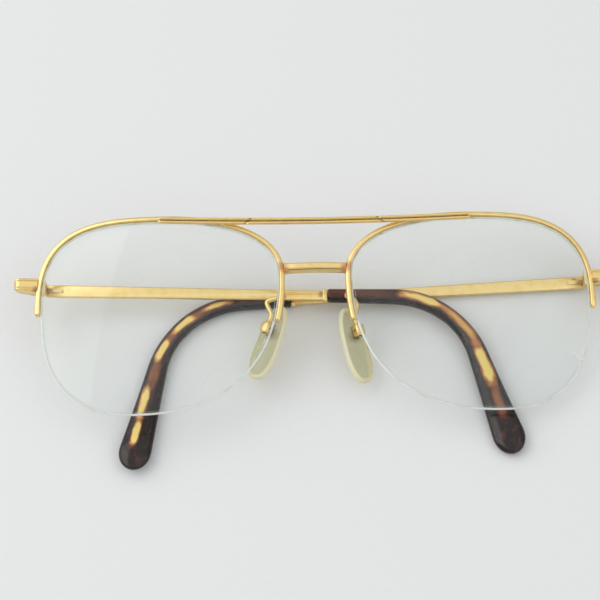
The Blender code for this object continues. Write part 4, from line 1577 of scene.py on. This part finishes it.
@dataclass
class Temple:
    """One temple with its hinge, end piece, bar, ferrule and acetate tip."""

    side: Side
    slope: float = 2.1
    offset: float = 2.05
    end_length: float = 6.5
    end_height: float = 3.0
    end_cut: float = 0.6
    end_round: float = 1.5
    bar_start: float = 1.0
    bar_height: float = 2.4
    bar_thickness: float = 1.2
    fit: float = 0.1
    tip_start_size: float = 3.4
    tip_neck_size: float = 4.0
    paddle: tuple[float, float] = (7.8, 3.5)
    bend_radius: float = 22.3
    drop: float = 26.8
    axis_frame: Matrix = field(init=False)
    fold_frame: Matrix = field(init=False)

    def __post_init__(self) -> None:
        """Places the hinge axis and the folded temple."""
        sign = self.side.sign
        pivot = Matrix.Translation(Vector((sign * HINGE.x, HINGE.y, HINGE.z)) * MM)
        self.axis_frame = FRONT @ pivot @ Matrix.Rotation(radians(self.slope) * sign, 4, "Z")
        self.fold_frame = self.axis_frame @ Matrix.Rotation(radians(self.side.fold) * sign, 4, "Y")

    def build(self) -> None:
        """Builds and dresses the hinge and the temple."""
        self.end_piece()
        self.hinge()
        self.bar()
        self.ferrule()
        self.tip()

    def end_piece(self) -> None:
        """The block that carries the hinge, browned where it meets the rim."""
        name, sign = self.side.name, self.side.sign
        brown = marks_at(
            self.axis_frame,
            (sign * 1.2, -1.3, 4.2, 1.5, 0.8),
            (sign * 3.2, 0.0, -0.6, 1.6, 0.7),
            (sign * 6.2, -1.4, 3.2, 1.1, 0.7),
            (sign * 6.6, 0.9, 2.6, 0.9, 0.6),
        )
        gold = GOLD.material(name + "_end_gold", self.axis_frame, None, brown)
        piece = welded(name + "_end_piece", name + "_end_block", 30.0)
        self.round_off(piece)
        dress(piece, gold, "front", Slot.GOLD, name + "_end_piece")
        dress(self.ribbed_face(), gold, "front", Slot.GOLD)

    def roundness(self, x: float) -> float:
        """How much of its full height the end block keeps this far out from the hinge."""
        past = max(0.0, (x - self.end_length + self.end_round) / self.end_round)
        return sqrt(1 - 0.8 * past**2)

    def round_off(self, piece: bpy.types.Object) -> None:
        """Rounds the end block's outer end, seen from the front.

        Args:
            piece: the end block, which is changed.
        """
        sign = self.side.sign
        bm = bmesh.new()
        bm.from_mesh(piece.data)
        along = self.axis_frame.to_3x3() @ Vector((1, 0, 0))
        for share in (1.0, 0.8, 0.6, 0.42, 0.26, 0.12):
            at = spot(self.axis_frame, sign * (self.end_length - self.end_round * share), 0, 0)
            geometry = bm.verts[:] + bm.edges[:] + bm.faces[:]
            bmesh.ops.bisect_plane(bm, geom=geometry, dist=1e-7, plane_co=at, plane_no=along)
        for vert in bm.verts:
            x, y, z = self.axis_frame.inverted() @ vert.co / MM
            vert.co = spot(self.axis_frame, x, y * self.roundness(sign * x), z)
        bm.to_mesh(piece.data)
        bm.free()
        piece.data.shade_smooth()
        piece.data.set_sharp_from_angle(angle=radians(30))

    def ribbed_face(self) -> bpy.types.Object:
        """The ribbed plate on the front of the end block, from the rim to the rounded end.

        Returns:
            The plate, not yet dressed.
        """
        sign, half = self.side.sign, self.end_height / 2
        eye = Eye(self.side)
        rim = eye.beside(EDGE.length_at(HINGE.y, False), eye.rim_out(), eye.rim_depth / 2)
        face = (FRONT.inverted() @ rim / MM).z - HINGE.z
        section = [(1.0, -0.25), (1.0, -0.05), (0.96, 0.08), (0.86, 0.18), (0.74, 0.17), (0.64, 0.0)]
        section += [(0.53, 0.13), (0.3, 0.21), (0.0, 0.23)]
        section += [(-across, forward) for across, forward in reversed(section[:-1])]
        rings = []
        for i in range(41):
            x = 0.75 + (self.end_length - self.end_cut - 0.05 - 0.75) * i / 40
            full = self.roundness(x)
            drop = max(0.0, (i - 34) / 6) ** 2 * 0.22
            ring = [
                spot(self.axis_frame, sign * x, across * half * full, face + forward - drop)
                for across, forward in section
            ]
            rings.append(ring)
        return to_object(self.side.name + "_end_ribs", lofted(rings), 40.0)

    def hinge(self) -> None:
        """The two hinge halves and the slotted screw through them."""
        name, sign = self.side.name, self.side.sign
        brown = marks_at(self.axis_frame, (0.0, 0.0, 1.0, 2.4, 0.75))
        gold = GOLD.material(name + "_hinge_gold", self.axis_frame, None, brown)
        half = welded(name + "_front_hinge", name + "_front_hinge_half")
        dress(half, gold, "front", Slot.GOLD, name + "_front_hinge")
        brown = marks_at(self.fold_frame, (-sign * 1.5, 0.0, -0.6, 2.2, 0.7))
        gold = GOLD.material(name + "_tang_gold", self.fold_frame, None, brown)
        tang = welded(name + "_temple_hinge", name + "_temple_hinge_half")
        dress(tang, gold, self.side.temple, Slot.GOLD, name + "_temple_hinge")
        steel = STEEL.material(name + "_hinge_screw_metal", self.axis_frame)
        screw = welded(name + "_hinge_screw", name + "_hinge_screw_slotted", 30.0)
        dress(screw, steel, "front", Slot.SCREW, name + "_hinge_screw")

    def bar(self) -> None:
        """The flat bar, with brown tarnish near the hinge."""
        name, sign = self.side.name, self.side.sign
        outer = -self.offset - self.bar_thickness / 2
        brown = marks_at(
            self.fold_frame,
            (-sign * 6.4, 0.5, outer, 1.5, 0.8),
            (-sign * 3.4, 0.3, outer + 1.2, 1.1, 0.8),
            (-sign * 1.2, -0.4, outer + 1.2, 0.9, 0.7),
            (-sign * (self.side.bar - 0.6), 0.2, -self.offset, 1.3, 0.8),
        )
        gold = GOLD.material(name + "_bar_gold", self.fold_frame, None, brown)
        piece = welded(name + "_temple_bar", name + "_bar_flat", 40.0)
        dress(piece, gold, self.side.temple, Slot.GOLD, name + "_temple_bar")

    def ferrule(self) -> None:
        """The thin gold band over the bar's end, against the tip."""
        name, sign = self.side.name, self.side.sign
        start = self.bar_start + self.side.bar
        section = round_section(self.bar_height + 0.75, self.bar_thickness + 0.75, 0.5, 4)
        rings = []
        steps = ((-1.15, 0.86), (-1.05, 0.96), (-0.9, 1.0), (-0.2, 1.0), (-0.05, 0.96), (0.05, 0.88))
        for along, full in steps:
            ring = [
                spot(self.fold_frame, -sign * (start + along), across * full, forward * full - self.offset)
                for across, forward in section
            ]
            rings.append(ring)
        gold = GOLD.material(name + "_ferrule_gold", self.fold_frame)
        dress(to_object(name + "_tip_ferrule", lofted(rings)), gold, self.side.temple, Slot.GOLD)

    def path(self, length: float) -> tuple[Vector, float]:
        """The tip's middle line.

        Args:
            length: how far from the hinge axis along the temple.

        Returns:
            The point in the fold's frame in millimetres, and the direction's turn.
        """
        bend = radians(self.side.bend)
        arc = self.bend_radius * bend
        if length <= self.side.bend_start:
            x, y, turn = length, 0.0, 0.0
        else:
            turn = min(bend, (length - self.side.bend_start) / self.bend_radius)
            rest = max(0.0, length - self.side.bend_start - arc)
            x = self.side.bend_start + self.bend_radius * sin(turn) + rest * cos(turn)
            y = -self.bend_radius * (1 - cos(turn)) - rest * sin(turn)
        share = max(0.0, (length - self.side.bend_start) / (arc + self.drop))
        lean = self.side.inward * share**1.6
        return Vector((-self.side.sign * x, y, lean - self.offset)), turn

    def size(self, share: float) -> tuple[float, float]:
        """The tip's width and thickness at a share of its length.

        Args:
            share: how far along the tip, 0 to 1.

        Returns:
            The width and the thickness, in millimetres.
        """
        swell = min(1.0, max(0.0, (share - 0.45) / 0.47)) ** 1.3
        width = self.tip_start_size + (self.tip_neck_size - self.tip_start_size) * min(1.0, share / 0.3)
        width += (self.paddle[0] - self.tip_neck_size) * swell
        thick = self.tip_start_size + (self.paddle[1] - self.tip_start_size) * swell
        close = max(0.0, (share - 0.93) / 0.07)
        shrink = sqrt(max(0.0, 1 - close**2)) if close < 1 else 0.0
        return width * shrink, thick * (0.35 + 0.65 * shrink)

    def tip_run(self) -> tuple[float, float]:
        """Where the tip starts and ends along the temple."""
        start = self.bar_start + self.side.bar + self.fit
        return start, self.side.bend_start + self.bend_radius * radians(self.side.bend) + self.drop

    def tip(self) -> None:
        """The acetate tip: a straight neck, a bend and a rounded paddle."""
        name, sign = self.side.name, self.side.sign
        start, total = self.tip_run()
        shares = [0.0, 0.0015, 0.004] + [0.01 + i / 76 * 0.92 for i in range(77)]
        shares += [0.937, 0.944, 0.951, 0.958, 0.965, 0.972, 0.978, 0.984, 0.989, 0.993, 0.9965, 0.999]
        rings = []
        for share in shares:
            middle, turn = self.path(start + (total - start) * share)
            width, thick = self.size(share)
            lip = 0.9 + 0.1 * min(1.0, share / 0.004)
            across = Vector((sign * -sin(turn), cos(turn), 0))
            ring = []
            for angle in around(36):
                point = middle + across * (width / 2 * lip * cos(angle))
                point.z += thick / 2 * lip * sin(angle)
                ring.append(spot(self.fold_frame, *point))
            rings.append(ring)
        acetate = Tortoise().material(name + "_tip_acetate", AMBER_AND_NECK_SHEEN[name])
        lengths = [(total - start) * share for share in shares]
        piece = to_object(name + "_tip_acetate", lofted(rings, lengths), 50.0)
        dress(piece, acetate, self.side.temple, Slot.TORTOISE, name + "_temple_tip")


AMBER_AND_NECK_SHEEN = {
    "left": [
        # The faint neck streak: partly the acetate's red-brown, partly a painted sheen along the neck's top.
        Streak(-6.0, 20.0, 0.4, 0.9, 0.17),
        Streak(16.5, 29.0, 0.25, 0.5),
        Streak(24.0, 46.0, 0.25, 0.55, 0.62),
        Streak(40.5, 53.0, 0.2, 0.5, 1.1),
        Streak(50.0, 62.0, 0.1, 0.4, 0.3),
        Streak(70.0, 75.0, 0.0, 1.1, 0.36),
    ],
    "right": [
        # The faint neck streak: partly the acetate's red-brown, partly a painted sheen along the neck's top.
        Streak(-4.0, 16.0, 0.45, 0.7, 0.24),
        Streak(14.0, 22.5, 0.2, 0.4, 0.92),
        Streak(24.0, 31.5, 0.15, 0.45, 1.1),
        Streak(32.5, 40.0, 0.2, 0.45, 1.1),
        Streak(12.0, 52.0, 0.15, 0.6, 0.3),
        Streak(45.5, 54.5, 0.32, 0.36, 1.1),
        Streak(55.0, 62.0, 0.24, 0.25, 1.2),
    ],
}


# Nose pads


@dataclass
class NosePad:
    """One nose pad with its arm, box, screw and lug."""

    side: Side
    length: float = 19.4
    width: float = 8.2
    square: float = 2.5
    thickness: float = 1.8
    stand: float = 1.9
    drop: float = 2.9
    turn: float = 38.0
    box_back: float = 5.6
    box_height: float = 2.8
    arm_at: float = 5.2
    arm_rise: float = 6.6
    arm_radius: float = 0.55
    fit: float = 0.1
    own_frame: Matrix = field(init=False)

    def __post_init__(self) -> None:
        """Places the pad's screw."""
        side = self.side
        middle = Matrix.Translation(Vector((side.sign * side.box_x, side.box_y, -self.box_back)) * MM)
        splay = Matrix.Rotation(radians(side.splay) * side.sign, 4, "Z")
        self.own_frame = FRONT @ middle @ splay @ Matrix.Rotation(radians(self.turn) * side.sign, 4, "Y")

    def build(self, eye: Eye) -> None:
        """Builds and dresses the arm, the box, the screw, the lug and the pad."""
        self.arm(eye)
        self.metalwork()
        self.pad()

    def arm(self, eye: Eye) -> None:
        """The bent wire, thickened by solder where it leaves the rim.

        Args:
            eye: the eye whose rim the wire leaves.
        """
        name, side = self.side.name, self.side
        at = FRONT.inverted() @ eye.beside(EDGE.length_at(self.arm_at, True), eye.rim_out(), 0.0) / MM
        back = at.z - eye.rim_depth / 2 - self.arm_radius - self.fit
        route = [
            (abs(at.x), self.arm_at, back),
            (abs(at.x) + (side.box_x - abs(at.x)) * 0.2, self.arm_at + 0.1, back - 1.6),
            (side.box_x - 0.2, side.box_y + self.arm_rise, -self.box_back - 1.0),
        ]
        points = [spot(FRONT, side.sign * a, b, c) for a, b, c in route]
        top = self.box_height / 2 + self.fit
        points += [spot(self.own_frame, 0, top + up, 0) for up in (2.0, -0.25)]
        points.insert(0, points[0] + (points[0] - points[1]).normalized() * 0.35 * MM)
        run = through(points, 10)
        radii = []
        for point in run:
            near = (point - run[0]).length / MM
            radii.append(self.arm_radius * (1 + 0.75 * max(0.0, 1 - near / 1.5) ** 2))
        copper = [Mark(run[0], 2.6), Mark(run[-1], 1.3, 0.7)]
        gold = GOLD.material(name + "_arm_gold", FRONT, copper)
        dress(wire(name + "_pad_arm_wire", run, radii), gold, "front", Slot.GOLD, name + "_pad_arm")

    def metalwork(self) -> None:
        """The box, the screw and the lug, dirty in their corners."""
        name = self.side.name
        brown = marks_at(self.own_frame, (0, -1.2, -0.9, 0.9, 0.8), (0.9, 0.9, 0.3, 0.7, 0.5))
        gold = GOLD.material(name + "_box_gold", self.own_frame, None, brown)
        box = welded(name + "_pad_box", name + "_pad_box_channel", 30.0)
        dress(box, gold, "front", Slot.GOLD, name + "_pad_box")
        steel = STEEL.material(name + "_pad_screw_metal", self.own_frame)
        screw = welded(name + "_pad_screw", name + "_pad_screw_shaft", 30.0)
        dress(screw, steel, "front", Slot.SCREW, name + "_pad_screw")
        steel = STEEL.material(name + "_pad_lug_metal", self.own_frame)
        lug = welded(name + "_pad_lug", name + "_pad_lug_plate", 30.0)
        dress(lug, steel, self.side.pad, Slot.SCREW, name + "_pad_lug")

    def half_width(self, share: float) -> float:
        """The teardrop's half width at a share of its length from the narrow top."""
        round_end = max(0.0, 1 - abs(2 * share - 1) ** self.square) ** (1 / self.square)
        return self.width / 2 * round_end * (0.78 + 0.22 * share)

    def pad(self) -> None:
        """The teardrop pad: a rounded rim and a shallow dish on both faces."""
        name = self.side.name
        front, thick = -self.stand, self.thickness
        layers = [(0.97, 0.0), (0.75, 0.0), (0.5, 0.0), (0.34, 0.02), (0.22, 0.0), (0.13, 0.02), (0.07, 0.07)]
        layers += [(0.03, 0.15), (0.008, 0.28), (0.0, 0.42), (0.008, 0.58), (0.035, 0.74), (0.09, 0.87)]
        layers += [(0.17, 0.95), (0.28, 0.99), (0.42, 0.99), (0.6, 0.97), (0.8, 0.96), (0.97, 0.96)]
        rings = []
        for inset, depth in layers:
            ring = []
            for k, turn in enumerate(around(72)):
                share = (1 - cos(turn)) / 2
                half = self.half_width(share) * (1 if k < 36 else -1)
                y = self.length * (0.5 - share) * (1 - inset * self.width / self.length)
                if inset > 0.5:
                    y *= (1 - inset) / 0.5
                ring.append(spot(self.own_frame, half * (1 - inset), y - self.drop, front - depth * thick))
            rings.append(ring)
        size = (self.width, self.length)
        finish = AgedPad().material(name + "_pad_plastic", self.own_frame, self.drop, size)
        piece = to_object(name + "_pad_teardrop", lofted(rings), 60.0)
        dress(piece, finish, self.side.pad, Slot.PAD, name + "_nose_pad")


# Camera, light and floor


@dataclass(frozen=True)
class Studio:
    """The camera at the photograph's angle, soft light and a pale floor."""

    azimuth: float = 4.41
    elevation: float = 65.21
    roll: float = -5.73
    distance: float = 0.9935
    target: Vector = Vector((-0.0037, 0.0102, 0.01))
    focal: float = 244.7

    def build(self) -> None:
        """Makes the camera, the lamps, the world and the floor."""
        self.camera()
        self.world()
        self.lamp("window", (-0.75, 0.2, 0.6), 1.0, 4.2)
        self.lamp("fill", (0.7, -0.35, 0.55), 1.0, 1.2)
        self.floor()
        bpy.context.scene.view_settings.view_transform = "Standard"

    def camera(self) -> None:
        """The camera, turned a little about its own line of sight."""
        a, e, r = radians(self.azimuth), radians(self.elevation), radians(self.roll)
        back = Vector((sin(a) * cos(e), -cos(a) * cos(e), sin(e)))
        right = Vector((cos(a), sin(a), 0))
        up = back.cross(right)
        across = right * cos(r) + up * sin(r)
        above = up * cos(r) - right * sin(r)
        data = bpy.data.cameras.new("camera")
        data.lens = self.focal
        data.sensor_width = 36.0
        data.clip_start = 0.05
        made = bpy.data.objects.new("camera", data)
        turned = Matrix((across, above, back)).transposed().to_4x4()
        made.matrix_world = Matrix.Translation(self.target + back * self.distance) @ turned
        bpy.context.scene.collection.objects.link(made)
        bpy.context.scene.camera = made

    def world(self) -> None:
        """Soft pale light from all round, brighter overhead like a white ceiling."""
        world = bpy.data.worlds.new("studio")
        world.use_nodes = True
        tree = world.node_tree
        background = tree.nodes["Background"]
        place = tree.nodes.new("ShaderNodeTexCoord")
        split = tree.nodes.new("ShaderNodeSeparateXYZ")
        height = tree.nodes.new("ShaderNodeMapRange")
        height.interpolation_type = "SMOOTHSTEP"
        for limit, value in (("From Min", 0.15), ("From Max", 0.9), ("To Min", 0.4), ("To Max", 0.92)):
            height.inputs[limit].default_value = value
        tree.links.new(place.outputs["Generated"], split.inputs[0])
        tree.links.new(split.outputs["Z"], height.inputs["Value"])
        tree.links.new(height.outputs["Result"], background.inputs["Strength"])
        background.inputs["Color"].default_value = (0.95, 0.97, 1.0, 1.0)
        bpy.context.scene.world = world

    def lamp(self, name: str, place: tuple[float, float, float], size: float, power: float) -> None:
        """A soft square lamp that looks at the pair.

        Args:
            name: its name.
            place: where it hangs, in metres.
            size: its side in metres.
            power: its power in watts.
        """
        data = bpy.data.lights.new(name, "AREA")
        data.size = size
        data.energy = power
        made = bpy.data.objects.new(name, data)
        made.location = place
        made.rotation_euler = Vector(place).to_track_quat("Z", "Y").to_euler()
        bpy.context.scene.collection.objects.link(made)

    def floor(self) -> None:
        """The floor at the height on which the pair lies."""
        bm = bmesh.new()
        bmesh.ops.create_grid(bm, x_segments=1, y_segments=1, size=1.5)
        made = to_object("pale_floor", bm)
        made.data.materials.append(PaleTable().material("pale_floor"))


def main() -> None:
    """Builds the studio and every sub-assembly in order."""
    logging.basicConfig(level=logging.INFO, format="%(name)s: %(message)s")
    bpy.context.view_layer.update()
    Studio().build()
    Front().build()
    for side in (LEFT, RIGHT):
        eye = Eye(side)
        eye.build()
        Temple(side).build()
        NosePad(side).build(eye)


if __name__ == "__main__":
    main()
